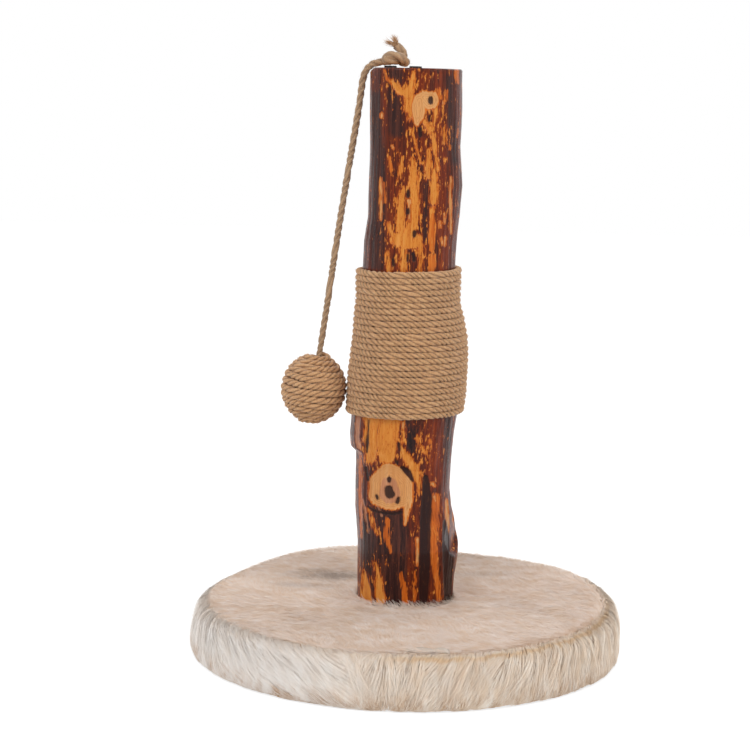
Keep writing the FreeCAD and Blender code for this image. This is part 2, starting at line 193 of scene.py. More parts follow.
cameraData = bpy.data.cameras.new("camera")
cameraData.lens = camera["lens"]
cameraData.clip_end = 50
cameraPiece = bpy.data.objects.new("camera", cameraData)
bpy.context.scene.collection.objects.link(cameraPiece)
look = Matrix.Rotation(math.radians(90 - camera["down"]), 4, "X")
look = look @ Matrix.Rotation(math.radians(camera["roll"]), 4, "Z")
cameraPiece.matrix_world = Matrix.Translation(camera["place"]) @ look
bpy.context.scene.camera = cameraPiece


# floor, sky and lamps
studio = {
    "floorSize": 12.0,
    "floorShade": 0.42,      # share of the floor's look that takes the shadow
    "floorGlow": 0.78,       # the rest, so that the open floor is white
    "sky": 0.62,
    # name, place, aims at, size, watts
    "lamps": [
        ("keyLamp", (-1.7, -2.1, 2.3), (0, 0, 0.28), 1.5, 34),
        ("fillLamp", (2.1, -1.7, 1.5), (0, 0, 0.28), 1.6, 22),
        ("backLamp", (0.6, 1.9, 2.2), (0, 0, 0.3), 1.6, 18),
    ],
}


def seenDirectly(tree):  # 1 for the camera, mirrors and glass
    path = addNode(tree, "ShaderNodeLightPath")
    mirrors = calc(tree, "MAXIMUM", path.outputs["Is Glossy Ray"], path.outputs["Is Transmission Ray"])
    return calc(tree, "MAXIMUM", path.outputs["Is Camera Ray"], mirrors)


def makeStudio():
    material, tree, shader = startMaterial("floorWhite", Roughness=0.9)
    shader.inputs["Specular IOR Level"].default_value = 0.0
    seen = seenDirectly(tree)
    base = mixColour(tree, seen, (0.8, 0.8, 0.8, 1), (studio["floorShade"],) * 3 + (1,))
    paint(tree, shader, base)
    glow = times(tree, seen, studio["floorGlow"])
    shader.inputs["Emission Color"].default_value = (1, 1, 1, 1)
    tree.links.new(glow, shader.inputs["Emission Strength"])
    bm = bmesh.new()
    bmesh.ops.create_grid(bm, x_segments=4, y_segments=4, size=studio["floorSize"] / 2)
    floor = newPiece("studioFloor", meshFrom("studioFloor", bm), material)

    world = bpy.data.worlds.new("sky")
    bpy.context.scene.world = world
    world.use_nodes = True
    tree = world.node_tree
    shown = seenDirectly(tree)
    strength = rangeOf(tree, shown, 0, 1, studio["sky"], 1.0, "LINEAR")
    background = tree.nodes["Background"]
    background.inputs["Color"].default_value = (1, 1, 1, 1)
    tree.links.new(strength, background.inputs["Strength"])

    for name, place, target, size, watts in studio["lamps"]:
        data = bpy.data.lights.new(name, "AREA")
        data.size = size
        data.energy = watts
        lamp = bpy.data.objects.new(name, data)
        lamp.location = place
        lamp.rotation_euler = (Vector(target) - Vector(place)).to_track_quat("-Z", "Y").to_euler()
        bpy.context.scene.collection.objects.link(lamp)
    bpy.context.scene.view_settings.view_transform = "Standard"
    print("studio made")


makeStudio()


# effects that several materials share
def startGroup(name, inputs, output, kind="NodeSocketFloat"):
    group = bpy.data.node_groups.new(name, "ShaderNodeTree")
    for socketName, socketKind, value in inputs:
        socket = group.interface.new_socket(socketName, in_out="INPUT", socket_type=socketKind)
        if value is not None:
            socket.default_value = value
    group.interface.new_socket(output, in_out="OUTPUT", socket_type=kind)
    return group, group.nodes.new("NodeGroupInput"), group.nodes.new("NodeGroupOutput")


def makePatchGroup():  # slow changes of tone over a piece, 0 to 1
    group, start, end = startGroup("patchyTone", [
        ("Vector", "NodeSocketVector", None), ("Size", "NodeSocketFloat", 0.05),
        ("Contrast", "NodeSocketFloat", 0.3)], "Tone")
    scale = calc(group, "DIVIDE", 1.0, start.outputs["Size"])
    spots = noiseOf(group, start.outputs["Vector"], scale, 4, 0.6)
    low = calc(group, "SUBTRACT", 0.5, start.outputs["Contrast"])
    high = plus(group, 0.5, start.outputs["Contrast"])
    group.links.new(rangeOf(group, spots, low, high), end.inputs["Tone"])
    return group


def makeFibreGroup():  # fine fibres that run along the U of a map, 0 to 1
    group, start, end = startGroup("fibreLines", [
        ("Vector", "NodeSocketVector", None), ("Along", "NodeSocketFloat", 3.0),
        ("Across", "NodeSocketFloat", 60.0)], "Lines")
    scale = addNode(group, "ShaderNodeCombineXYZ", None,
                    {0: start.outputs["Along"], 1: start.outputs["Across"], 2: 1.0})
    place = addNode(group, "ShaderNodeVectorMath", {"operation": "MULTIPLY"},
                    {0: start.outputs["Vector"], 1: scale.outputs[0]}).outputs[0]
    fine = noiseOf(group, place, 1.0, 3, 0.65, 0.3)
    group.links.new(rangeOf(group, fine, 0.3, 0.7, kind="LINEAR"), end.inputs["Lines"])
    return group


patchGroup = makePatchGroup()
fibreGroup = makeFibreGroup()


def patchTone(tree, vector, size, contrast=0.3):
    node = addNode(tree, "ShaderNodeGroup", {"node_tree": patchGroup})
    feed(tree, node, "Vector", vector)
    node.inputs["Size"].default_value = size
    node.inputs["Contrast"].default_value = contrast
    return node.outputs["Tone"]


def fibreLines(tree, vector, along, across):
    node = addNode(tree, "ShaderNodeGroup", {"node_tree": fibreGroup})
    feed(tree, node, "Vector", vector)
    node.inputs["Along"].default_value = along
    node.inputs["Across"].default_value = across
    return node.outputs["Lines"]


def ownMap(tree, name):
    return addNode(tree, "ShaderNodeUVMap", {"uv_map": name}).outputs["UV"]


def onPiece(tree):
    return addNode(tree, "ShaderNodeTexCoord").outputs["Object"]


# jute rope of three strands
jute = {
    "light": tone(236, 190, 140),
    "middle": tone(208, 158, 108),
    "brown": tone(156, 102, 62),
    # painted shade for the grooves between the strands, also the colour of the dark flecks
    "grooveShadeAndFleck": tone(108, 64, 36),
    "straw": tone(236, 202, 150),
    "dull": tone(150, 132, 112),
    "mapUnit": 0.02,         # metres of rope to one unit of the map along it
    "strands": 3,
    "columns": 5,            # points round each strand
    "strandShare": 0.56,     # a strand's radius, and its distance from the middle
    "strandOut": 0.44,
    "unevenLay": 0.35,       # of a turn
    "unevenSize": 0.12,      # of the rope's radius
}


def makeJute(name, warm=0.0, dull=0.0):
    material, tree, shader = startMaterial(name, Roughness=0.82, Sheen_Weight=0.25, Sheen_Roughness=0.6)
    shader.inputs["Specular IOR Level"].default_value = 0.25
    ropeMap = ownMap(tree, "ropeMap")
    turn = times(tree, splitUp(tree, ropeMap)["Y"], 2 * math.pi * jute["strands"])
    crown = calc(tree, "COSINE", turn, 0.0)
    grooveShadeAndFleck = rangeOf(tree, crown, -0.1, -0.95)
    fine = fibreLines(tree, ropeMap, 5.0, 110.0)
    coarse = fibreLines(tree, ropeMap, 2.0, 26.0)
    patches = patchTone(tree, onPiece(tree), 0.012, 0.28)
    colour = mixColour(tree, coarse, jute["middle"], jute["light"])
    lines = times(tree, rangeOf(tree, fine, 0.55, 0.0), 0.65)
    colour = mixColour(tree, lines, colour, jute["brown"])
    colour = mixColour(tree, times(tree, patches, 0.28 + warm), colour, jute["brown"])
    # painted shade in the grooves between the strands
    colour = mixColour(tree, times(tree, grooveShadeAndFleck, 0.7), colour, jute["grooveShadeAndFleck"])
    flecks = noiseOf(tree, stretch(tree, ropeMap, (2.2, 30, 1)), 3.0, 3, 0.7)
    colour = mixColour(tree, rangeOf(tree, flecks, 0.57, 0.72, 0, 0.6), colour, jute["light"])
    colour = mixColour(tree, rangeOf(tree, flecks, 0.42, 0.3, 0, 0.6), colour, jute["grooveShadeAndFleck"])
    specks = noiseOf(tree, onPiece(tree), 720, 3, 0.7)
    colour = mixColour(tree, rangeOf(tree, specks, 0.53, 0.66, 0, 0.55), colour, jute["straw"])
    colour = mixColour(tree, rangeOf(tree, specks, 0.47, 0.35, 0, 0.5), colour, jute["brown"])
    if dull:
        colour = mixColour(tree, dull, colour, jute["dull"])
    paint(tree, shader, colour)
    height = plus(tree, times(tree, coarse, 0.6), times(tree, fine, 0.5))
    finishBump(tree, shader, height, 0.55, 0.0006)
    return material


juteMaterial = makeJute("juteRope")
juteCordMaterial = makeJute("juteCord", 0.0, 0.5)


def makeSection(radius):  # the rope's outline: round strands pressed together
    share, out = jute["strandShare"], jute["strandOut"]
    count = jute["strands"] * jute["columns"]
    curve = bpy.data.curves.new("ropeSection", "CURVE")
    curve.dimensions = "2D"
    spline = curve.splines.new("POLY")
    spline.points.add(count - 1)
    spline.use_cyclic_u = True
    for index in range(count):
        turn = 2 * math.pi * index / count
        near = (turn * jute["strands"] + math.pi) % (2 * math.pi) - math.pi
        near /= jute["strands"]
        reach = out * math.cos(near) + math.sqrt(share ** 2 - (out * math.sin(near)) ** 2)
        spline.points[index].co = (radius * reach * math.cos(turn), radius * reach * math.sin(turn), 0, 1)
    piece = bpy.data.objects.new("ropeSection", curve)
    bpy.context.scene.collection.objects.link(piece)
    return piece


def smoothLine(route, steps):  # the points of a smooth line on the route
    curve = bpy.data.curves.new("route", "CURVE")
    curve.dimensions = "3D"
    curve.resolution_u = steps
    spline = curve.splines.new("NURBS")
    spline.points.add(len(route) - 1)
    for point, place in zip(spline.points, route):
        point.co = (*place, 1)
    spline.order_u = 3
    spline.use_endpoint_u = True
    piece = bpy.data.objects.new("route", curve)
    bpy.context.scene.collection.objects.link(piece)
    mesh = bpy.data.meshes.new_from_object(piece)
    line = [vertex.co.copy() for vertex in mesh.vertices]
    bpy.data.objects.remove(piece)
    bpy.data.meshes.remove(mesh)
    return line


def layRope(name, line, diameter, lay, hand=1, twist="MINIMUM"):
    curve = bpy.data.curves.new(name, "CURVE")
    curve.dimensions = "3D"
    curve.twist_mode = twist
    spline = curve.splines.new("POLY")
    spline.points.add(len(line) - 1)
    along = 0.0
    for index, place in enumerate(line):
        if index:
            along += (Vector(place) - Vector(line[index - 1])).length
        point = spline.points[index]
        point.co = (*place, 1)
        uneven = jute["unevenLay"] * noise.noise(Vector((along * 45, len(name), 0.5)))
        point.tilt = hand * 2 * math.pi * ((along / lay + uneven) % 1)
        point.radius = 1 + jute["unevenSize"] * noise.noise(Vector((along * 60, 3.1, len(name))))
    section = makeSection(diameter / 2)
    curve.bevel_mode = "OBJECT"
    curve.bevel_object = section
    curve.use_fill_caps = True
    maker = bpy.data.objects.new(name, curve)
    bpy.context.scene.collection.objects.link(maker)
    bpy.context.view_layer.update()
    graph = bpy.context.evaluated_depsgraph_get()
    mesh = bpy.data.meshes.new_from_object(maker.evaluated_get(graph))
    bpy.data.objects.remove(maker)
    bpy.data.objects.remove(section)
    layer = mesh.uv_layers[0]
    layer.name = "ropeMap"
    places = np.zeros(len(layer.data) * 2, np.float32)
    layer.data.foreach_get("uv", places)
    places[0::2] *= along / jute["mapUnit"]
    layer.data.foreach_set("uv", places)
    mesh.materials.clear()
    return mesh, along


# fibres and fur: many thin blades in one mesh
def makeBlade(steps):  # a flat blade 1 long and 1 wide that ends in a point
    bm = bmesh.new()
    bmesh.ops.create_grid(bm, x_segments=1, y_segments=steps, size=0.5)
    top = [vertex for vertex in bm.verts if vertex.co.y > 0.499]
    bmesh.ops.pointmerge(bm, verts=top, merge_co=(0, 0.5, 0))
    bm.verts.ensure_lookup_table()
    across = np.array([vertex.co.x * 2 for vertex in bm.verts])
    along = np.array([vertex.co.y + 0.5 for vertex in bm.verts])
    faces = [[vertex.index for vertex in face.verts] for face in bm.faces]
    bm.free()
    return across, along, faces


def makeStrands(name, paths, widths, sides, tones, normals=None):
    # paths: strands x points x 3; sides: strands x 3, the way each blade is wide;
    # normals: strands x 3, so that the light falls on the pile as on one surface
    count, points, _ = paths.shape
    across, along, faces = makeBlade(points - 1)
    level = np.rint(along * (points - 1)).astype(int)
    taper = (1 - along) ** 0.6
    verts = paths[:, level, :] + (sides[:, None, :] * (across * taper)[None, :, None]
                                  * widths[:, None, None] / 2)
    corner = np.array([index for face in faces for index in face])
    sizes = np.array([len(face) for face in faces])
    mesh = bpy.data.meshes.new(name)
    perStrand = len(across)
    mesh.vertices.add(count * perStrand)
    mesh.vertices.foreach_set("co", verts.astype(np.float32).ravel())
    loops = (corner[None, :] + np.arange(count)[:, None] * perStrand).ravel()
    mesh.loops.add(len(loops))
    mesh.loops.foreach_set("vertex_index", loops.astype(np.int32))
    allSizes = np.tile(sizes, count)
    starts = np.concatenate(([0], np.cumsum(allSizes)[:-1]))
    mesh.polygons.add(len(allSizes))
    mesh.polygons.foreach_set("loop_start", starts.astype(np.int32))
    mesh.polygons.foreach_set("loop_total", allSizes.astype(np.int32))
    mesh.update(calc_edges=True)
    layer = mesh.uv_layers.new(name="strandMap")
    spots = np.empty((len(loops), 2), np.float32)
    spots[:, 0] = np.repeat(tones, len(corner))
    spots[:, 1] = np.tile(along[corner], count)
    layer.data.foreach_set("uv", spots.ravel())
    if normals is not None:
        mesh.normals_split_custom_set_from_vertices(np.repeat(normals, perStrand, axis=0).tolist())
    return mesh


def unit(vectors):
    return vectors / np.linalg.norm(vectors, axis=-1, keepdims=True)


def fuzzPaths(line, radius, count, seed, lengths=(0.002, 0.006), away=None, reach=0.010):
    # loose fibres of a rope: they leave its surface along the lay; away gives the open side, and
    # none stands further than reach from the rope's middle
    dice = np.random.default_rng(seed)
    spine = np.array(line)
    pick = dice.integers(1, len(spine) - 1, count)
    at = spine[pick]
    along = unit(spine[pick + 1] - spine[pick - 1])
    spread = unit(dice.normal(0, 1, (count, 3)))
    if away is not None:
        spread = unit(spread * 0.8 + unit(at - np.array(away(at))))
    out = unit(spread - along * np.sum(spread * along, axis=1, keepdims=True))
    side = np.cross(along, out)
    heading = unit(along * dice.choice([-1, 1], (count, 1)) + out * dice.uniform(0.15, 0.6, (count, 1))
                   + side * dice.normal(0, 0.5, (count, 1)))
    curl = out * dice.normal(0, 0.35, (count, 1)) + side * dice.normal(0, 0.5, (count, 1))
    run = dice.uniform(*lengths, count)[:, None, None] * np.linspace(0, 1, 5)[None, :, None]
    bent = curl[:, None, :] * run ** 2 / lengths[1]
    offset = (out * radius * 0.9)[:, None, :] + heading[:, None, :] * run + bent
    onward = np.sum(offset * along[:, None, :], axis=2, keepdims=True) * along[:, None, :]
    across = offset - onward
    across *= np.minimum(1, reach / np.linalg.norm(across, axis=2, keepdims=True))
    paths = at[:, None, :] + onward + across
    widths = dice.uniform(0.00012, 0.00026, count)
    return [paths, widths, unit(np.cross(heading, out)), dice.random(count)]


# the cord that hangs over the rim
cord = {
    "diameter": 0.006,
    "seenDiameter": 0.0072,  # with the strands' crowns, before they are pulled tight
    "lay": 0.027,
    "smooth": 36,            # steps between two points of the route
    "fuzz": 800,
    "fuzzLength": (0.0015, 0.0042),
    "fuzzReach": 0.0050,
    "hairsFrom": -0.037,     # none beside the knot
    "hairGap": 0.005,        # and none where the two pieces meet
    "splitBelowTop": 0.023,  # the piece over the rim ends here, the straight piece begins
    # across and above the log's sawn top: inside the knot, over the rim, down into the ball
    "route": [
        (-0.0285, 0.0064), (-0.0365, 0.0056), (-0.0415, 0.0049), (-0.0463, 0.0027),
        (-0.0506, -0.0014), (-0.0533, -0.0074), (-0.0549, -0.0157), (-0.0564, -0.0300),
        (-0.0596, -0.0530), (-0.0656, -0.0920), (-0.0766, -0.1660), (-0.0880, -0.2540),
        (-0.1003, -0.3388),
    ],
    # the cord bends between the bodies over these stretches
    "rimBend": ((-0.040, 0.005), (-0.054, -0.015)),
    "sideBend": (-0.024, -0.040),
}


def makeCord():
    route = [(x, cordPlane, logTop + z) for x, z in cord["route"]]
    line = smoothLine(route, cord["smooth"])
    whole, length = layRope("cordWhole", line, cord["seenDiameter"], cord["lay"])
    fuzz = fuzzPaths(line, cord["seenDiameter"] / 2, cord["fuzz"], 3, cord["fuzzLength"],
                     reach=cord["fuzzReach"])
    splitAt = logTop - cord["splitBelowTop"]
    pieces = []
    for name, keepUpper in (("cord_over_rim_rope", True), ("hanging_cord_rope", False)):
        bm = bmesh.new()
        bm.from_mesh(whole)
        everything = bm.verts[:] + bm.edges[:] + bm.faces[:]
        bmesh.ops.bisect_plane(bm, geom=everything, plane_co=(0, 0, splitAt), plane_no=(0, 0, 1),
                               clear_outer=not keepUpper, clear_inner=keepUpper)
        rim = [edge for edge in bm.edges if edge.is_boundary]
        bmesh.ops.holes_fill(bm, edges=rim, sides=0)
        roots, tips = fuzz[0][:, 0], fuzz[0][:, -1]
        own = (roots[:, 2] > splitAt) == keepUpper
        own &= (np.abs(roots[:, 2] - splitAt) > cord["hairGap"]) & (tips[:, 0] < cord["hairsFrom"])
        ownFuzz = [part[own] for part in fuzz]
        hairs = makeStrands(name + "_hairs", *ownFuzz)
        bm.from_mesh(hairs)
        bpy.data.meshes.remove(hairs)
        pieces.append(newPiece(name, meshFrom(name, bm), juteCordMaterial))
    bpy.data.meshes.remove(whole)
    rimPiece, hangingPiece = pieces
    start, end = [(x, cordPlane, logTop + z) for x, z in cord["rimBend"]]
    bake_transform(rimPiece, "stand", "rim_cord", start=start, end=end)
    high, low = [(line[0].x, cordPlane, logTop + z) for z in cord["sideBend"]]
    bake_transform(hangingPiece, "rim_cord", "cord", start=high, end=low)
    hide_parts("cord_over_rim")
    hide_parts("hanging_cord")
    print(f"cord laid: {length:.3f} m")


makeCord()


log = {
    "around": 250,           # columns and rows of the mesh
    "up": 370,
    "reach": 0.09,           # rays start this far from the middle
    "barkThick": 0.9 * mm,
    "ridge": 0.55 * mm,      # depth of the bark's long furrows
    "wave": 0.9 * mm,        # slow swellings of the surface
    "ledge": (0.190, 0.221), # the step in the bark between these heights shows at the left alone
    "ledgeEnd": -1.25,       # where it ends, in radians from the front
    "ledgeFade": 0.35,
    "pit": 0.8 * mm,         # depth of the dark spots
    "topFade": 4 * mm,       # the furrows die out this far under the sawn top
    "endRings": (0.97, 0.8, 0.5, 0.2),
    "seed": 11,
}

# What shows on the front, as strokes: across from the middle and up from the floor in
# millimetres, and the stroke's half width. wood is bare golden wood, inner the orange layer
# under the bark, sand pale wood, rose pinkish wood, ruddy red-brown bark, plum dark bark.
logMarks = {
    "wood": [
        [(-4, 588, 0.8), (-7, 574, 3.5), (-9, 564, 4.8), (-8, 553, 4.8), (-7, 545, 3.5), (-9, 540, 1)],
        [(-26, 576, 1.5), (-22, 572, 3), (-16, 567, 3.5), (-12, 564, 3)],
        [(18, 558, 1.2), (18, 548, 1.8), (17, 536, 1)],
        [(8, 538, 2.5), (13, 530, 2.5), (16, 525, 2), (19, 506, 1.5), (21, 492, 1.2)],
        [(-5, 531, 0.7), (0, 513, 0.8), (5, 498, 0.8), (6, 498, 1.8)],
        [(27, 533, 1.2), (27, 526, 2), (27, 518, 1)],
        [(-15, 503, 1), (-15, 494, 1.8), (-15, 484, 1.2)],
        [(-4, 501, 1.5), (-3, 491, 3), (-3, 482, 2.5)],
        [(12, 510, 1.2), (13, 496, 3), (13, 484, 2)],
        [(-3, 483, 4.5), (-2, 470, 4.5), (0, 455, 4.5), (-2, 440, 5), (-5, 430, 6)],
        [(-12, 474, 1.2), (-14, 462, 3.2), (-15, 447, 4), (-14, 433, 4.5)],
        [(-26, 437, 1), (-23, 429, 3), (-18, 423, 6), (-10, 422, 9), (0, 422, 8), (5, 418, 4)],
        [(-11, 415, 3), (-11, 401, 2.8), (-10, 390, 2.6)],
        [(6, 416, 2), (6, 403, 1.8), (6, 390, 1.8)],
        [(-26, 408, 1.6), (-25, 398, 1.8), (-25, 389, 1.5)],
        [(18, 491, 2.5), (18, 477, 4), (18, 460, 3.2)],
        [(-39, 247, 8), (-38, 221, 7), (-39, 201, 5)],
        [(-23, 249, 10), (-22, 223, 10), (-23, 206, 8)],
        [(-15, 250, 5), (-14, 232, 3.5), (-16, 217, 3)],
        [(-9, 216, 1.6), (-2, 205, 4), (5, 194, 4.5), (8, 184, 3.5), (11, 175, 2), (11, 166, 1)],
        [(-7, 236, 1.2), (-6, 228, 1.4), (-8, 221, 0.8)],
        [(8, 227, 0.8), (11, 217, 1.4), (16, 211, 1.2), (20, 206, 0.6)],
        [(-43, 81, 1.5), (-41, 68, 4), (-40, 52, 5.5)],
        [(-32, 93, 1.6), (-28, 77, 3), (-26, 56, 4.5)],
        [(-40, 149, 0.8), (-34, 134, 1.6), (-30, 125, 0.8)],
    ],
    "inner": [
        [(-50, 202, 1.8), (-50, 172, 2.8), (-49, 142, 2.6), (-47, 116, 1.2)],
        [(-33, 587, 1), (-31, 580, 1.2), (-26, 574, 1.6)], [(38, 588, 2.5), (40, 577, 1.5)],
        [(20, 571, 1), (23, 561, 1.4)], [(28, 569, 1), (27, 559, 1)],
        [(-26, 502, 1.4), (-24, 490, 1.5)], [(17, 455, 2.5), (17, 435, 3), (17, 414, 3)],
        [(18, 406, 3), (18, 390, 4)], [(-31, 477, 1), (-30, 458, 1.1)],
        [(28, 163, 4), (27, 140, 5), (26, 120, 5), (28, 100, 3.5), (31, 78, 2.5), (34, 56, 2)],
        [(8, 88, 0.8), (9, 59, 1.4)], [(-7, 87, 1.4), (-2, 71, 2.6), (0, 57, 3)],
        [(-20, 141, 2), (-21, 125, 3), (-17, 108, 1.4)], [(20, 223, 1), (21, 215, 0.7)],
        [(40, 531, 0.6), (40, 524, 0.6)], [(33, 515, 0.7), (33, 512, 0.7)],
    ],
    "sand": [
        [(6, 562, 5.5), (12, 559, 8.5)], [(2, 559, 6), (1, 551, 6.5), (1, 544, 5.5), (0, 537, 2.5)],
        [(25, 441, 0.6), (25, 435, 0.7)], [(29, 449, 0.7), (30, 439, 0.5)],
        [(27, 424, 0.6), (28, 419, 0.5)], [(31, 425, 0.6), (31, 417, 0.7)],
        [(-6, 461, 1.6), (-6, 456, 0.9), (-5, 441, 0.6)],
        [(35, 484, 0.5), (35, 462, 0.7), (37, 429, 0.5)],
        [(-35, 482, 0.5), (-34, 460, 0.7), (-34, 441, 0.5)],
        [(-21, 190, 8), (-29, 176, 10.5), (-29, 164, 10.5), (-18, 163, 11.5), (-6, 165, 10),
         (-7, 176, 11), (-14, 187, 9), (-21, 190, 8)],
        [(1, 162, 3.5), (-1, 152, 2.6), (-2, 144, 1.2), (-3, 137, 0.5)],
        [(24, 177, 1.3), (27, 174, 0.6)], [(27, 163, 1.1), (28, 159, 0.7)],
        [(10, 122, 0.9), (11, 106, 0.9), (10, 95, 0.6)],
        [(40, 156, 1.4), (41, 140, 1.5), (44, 124, 1.5), (49, 111, 2), (53, 100, 1.6)],
        [(25, 558, 0.6), (25, 556, 0.6)], [(-24, 514, 0.5), (-23, 512, 0.5)],
        [(-35, 545, 0.6), (-35, 542, 0.5)], [(-7, 241, 0.9), (-7, 235, 0.7)],
    ],
    "rose": [
        [(-53, 246, 3.4), (-54, 221, 3), (-51, 211, 2)],
        [(-52, 199, 1.4), (-51, 154, 1.8), (-49, 133, 1.4)], [(-20, 176, 8.5), (-19, 168, 11)],
        [(-46, 156, 1), (-42, 136, 1.2), (-39, 123, 0.6)], [(-31, 154, 0.9), (-26, 144, 1.2)],
    ],
    "dark": [
        [(13, 560, 2.7), (13, 558, 2.5)], [(12, 544, 1.3), (12, 540, 1.3)],
        [(3, 531, 1.6), (4, 525, 1.6)], [(-7, 470, 1.6), (-7, 466, 1.7)],
        [(-7, 452, 1.7), (-7, 449, 1.7)], [(0, 430, 2), (0, 427, 1.9)],
        [(-1, 409, 1.7), (0, 403, 1.9)], [(-6, 408, 0.9), (-6, 402, 0.9)],
        [(-21, 403, 1.1), (-20, 397, 1.4)], [(-11, 220, 1.2), (-10, 213, 1)],
        [(-14, 203, 0.7), (-12, 199, 1.3)], [(-43, 190, 1.8), (-41, 178, 1.2)],
        [(-7, 195, 1.5), (-3, 192, 3), (1, 187, 2.6), (4, 181, 1)],
        [(-20, 182, 2.2), (-20, 180, 1.6)], [(-20, 172, 3.6), (-19, 167, 4.8)],
        [(-32, 163, 1.5), (-31, 161, 1.3)], [(-10, 163, 1.6), (-11, 159, 1.8)],
        [(-40, 151, 1), (-34, 148, 1.2), (-24, 147, 1.2), (-15, 147, 1.3), (-7, 149, 1.5)],
        [(17, 184, 2.5), (19, 161, 5), (18, 131, 5.5), (18, 98, 5.5), (18, 58, 4)],
        [(47, 135, 2), (49, 124, 3), (49, 115, 2)],
        [(38, 136, 2), (40, 118, 4), (43, 94, 6), (46, 51, 6)],
        [(-42, 241, 0.5), (-43, 215, 1.2), (-43, 207, 0.6)],
    ],
    "plum": [
        [(-45, 558, 10), (-40, 509, 8), (-37, 460, 8), (-36, 399, 8)],
        [(-21, 583, 7), (-23, 559, 6), (-20, 530, 8)],
        [(-24, 130, 24), (-23, 99, 24), (-22, 61, 20)],
        [(10, 477, 2.5), (10, 450, 3), (11, 423, 3)], [(31, 581, 4), (34, 540, 5), (38, 501, 4)],
        [(-4, 244, 3.5), (1, 228, 4.5), (1, 213, 4)], [(39, 241, 4), (41, 208, 4), (42, 175, 3.5)],
    ],
    "ruddy": [
        [(25, 511, 4), (27, 462, 5), (29, 396, 5)], [(2, 584, 3), (3, 567, 2)],
        [(20, 583, 3.5), (22, 540, 4), (23, 515, 4)], [(-33, 558, 2), (-33, 517, 2.6)],
        [(22, 245, 9), (23, 212, 10), (26, 178, 7)], [(34, 154, 2.6), (34, 119, 2)],
        [(-22, 481, 4), (-23, 446, 4), (-21, 412, 3.6)], [(10, 418, 2.5), (12, 391, 2.5)],
        [(6, 521, 3), (4, 509, 3)], [(-18, 412, 1.6), (-17, 391, 1.6)],
    ],
}
logKinds = ["wood", "inner", "sand", "rose", "dark", "plum", "ruddy"]
# tones along the streaks of each kind of surface, from dark to light
logTones = {
    "bark": [(0.32, tone(30, 14, 12)), (0.45, tone(62, 24, 14)), (0.56, tone(92, 34, 14)),
             (0.72, tone(130, 52, 18))],
    "ruddy": [(0.32, tone(70, 20, 8)), (0.5, tone(110, 37, 11)), (0.72, tone(152, 66, 22))],
    "plum": [(0.32, tone(24, 12, 14)), (0.5, tone(50, 28, 26)), (0.72, tone(88, 50, 40))],
    "orange": [(0.3, tone(150, 66, 18)), (0.5, tone(196, 96, 26)), (0.7, tone(222, 134, 54))],
    "gold": [(0.25, tone(190, 102, 32)), (0.5, tone(212, 134, 54)), (0.75, tone(226, 156, 80))],
    "sand": [(0.25, tone(198, 128, 70)), (0.5, tone(214, 152, 92)), (0.75, tone(224, 172, 116))],
    "rose": [(0.25, tone(150, 92, 66)), (0.5, tone(186, 124, 92)), (0.75, tone(210, 154, 118))],
}
logSpots = {
    "soot": tone(26, 12, 12),
    "fleck": tone(166, 92, 46),
    "ring": tone(158, 92, 56),
    "singed": tone(86, 36, 20),
    "knotHole": tone(38, 18, 16),
}


def surfaceTree(node):
    bm = bmesh.new()
    bm.from_mesh(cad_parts[node].data)
    tree = BVHTree.FromBMesh(bm)
    bm.free()
    return tree


logTree = surfaceTree("log_post")
logAxisX = (logBox[0].x + logBox[1].x) / 2
logAxisY = cordPlane


def logSkin(angle, height, clear=0.0):  # a point on the solid log; angle 0 is the front, in radians
    out = Vector((math.sin(angle), -math.cos(angle), 0))
    middle = Vector((logAxisX, logAxisY, height))
    hit = logTree.ray_cast(middle + out * log["reach"], -out)[0]
    return hit + out * clear


def strokeDepth(across, up, strokes):  # how deep inside the nearest stroke each point lies, in mm
    best = np.full(across.shape, -30.0)
    for stroke in strokes:
        for (x0, z0, w0), (x1, z1, w1) in zip(stroke, stroke[1:]):
            dx, dz = x1 - x0, z1 - z0
            share = ((across - x0) * dx + (up - z0) * dz) / max(dx * dx + dz * dz, 1e-6)
            share = share.clip(0, 1)
            apart = np.hypot(across - x0 - share * dx, up - z0 - share * dz)
            best = np.maximum(best, w0 + (w1 - w0) * share - apart)
    return best


def inventMarks():  # the same kinds of marks for the sides and the back, which no view shows
    dice = random.Random(log["seed"])
    made = {kind: [] for kind in logKinds}
    plan = [("wood", 34, (20, 90), (1.2, 5.0)), ("inner", 30, (10, 60), (0.8, 3.0)),
            ("sand", 14, (5, 26), (0.6, 1.8)), ("dark", 16, (3, 14), (1.0, 2.4)),
            ("plum", 16, (60, 160), (3.0, 9.0)), ("ruddy", 18, (40, 140), (3.0, 8.0))]
    for kind, count, tall, wide in plan:
        for _ in range(count):
            angle = dice.uniform(-100, 100)
            height = dice.uniform(50, 560)
            run = dice.uniform(*tall)
            width = dice.uniform(*wide)
            lean = dice.gauss(0, 4)
            middle = (angle + lean * 0.5, height - run * 0.4, width)
            made[kind].append([(angle, height, width * 0.3), middle,
                               (angle + lean, height - run, width * 0.4)])
    for angle, height, size in ((-40, 330, 9), (55, 470, 12), (20, 120, 14), (-75, 205, 8)):
        made["sand"].append([(angle, height + size * 0.4, size), (angle, height - size * 0.5, size * 0.9)])
        made["dark"].append([(angle, height + 1, size * 0.3), (angle + 1, height - 2, size * 0.2)])
    return made


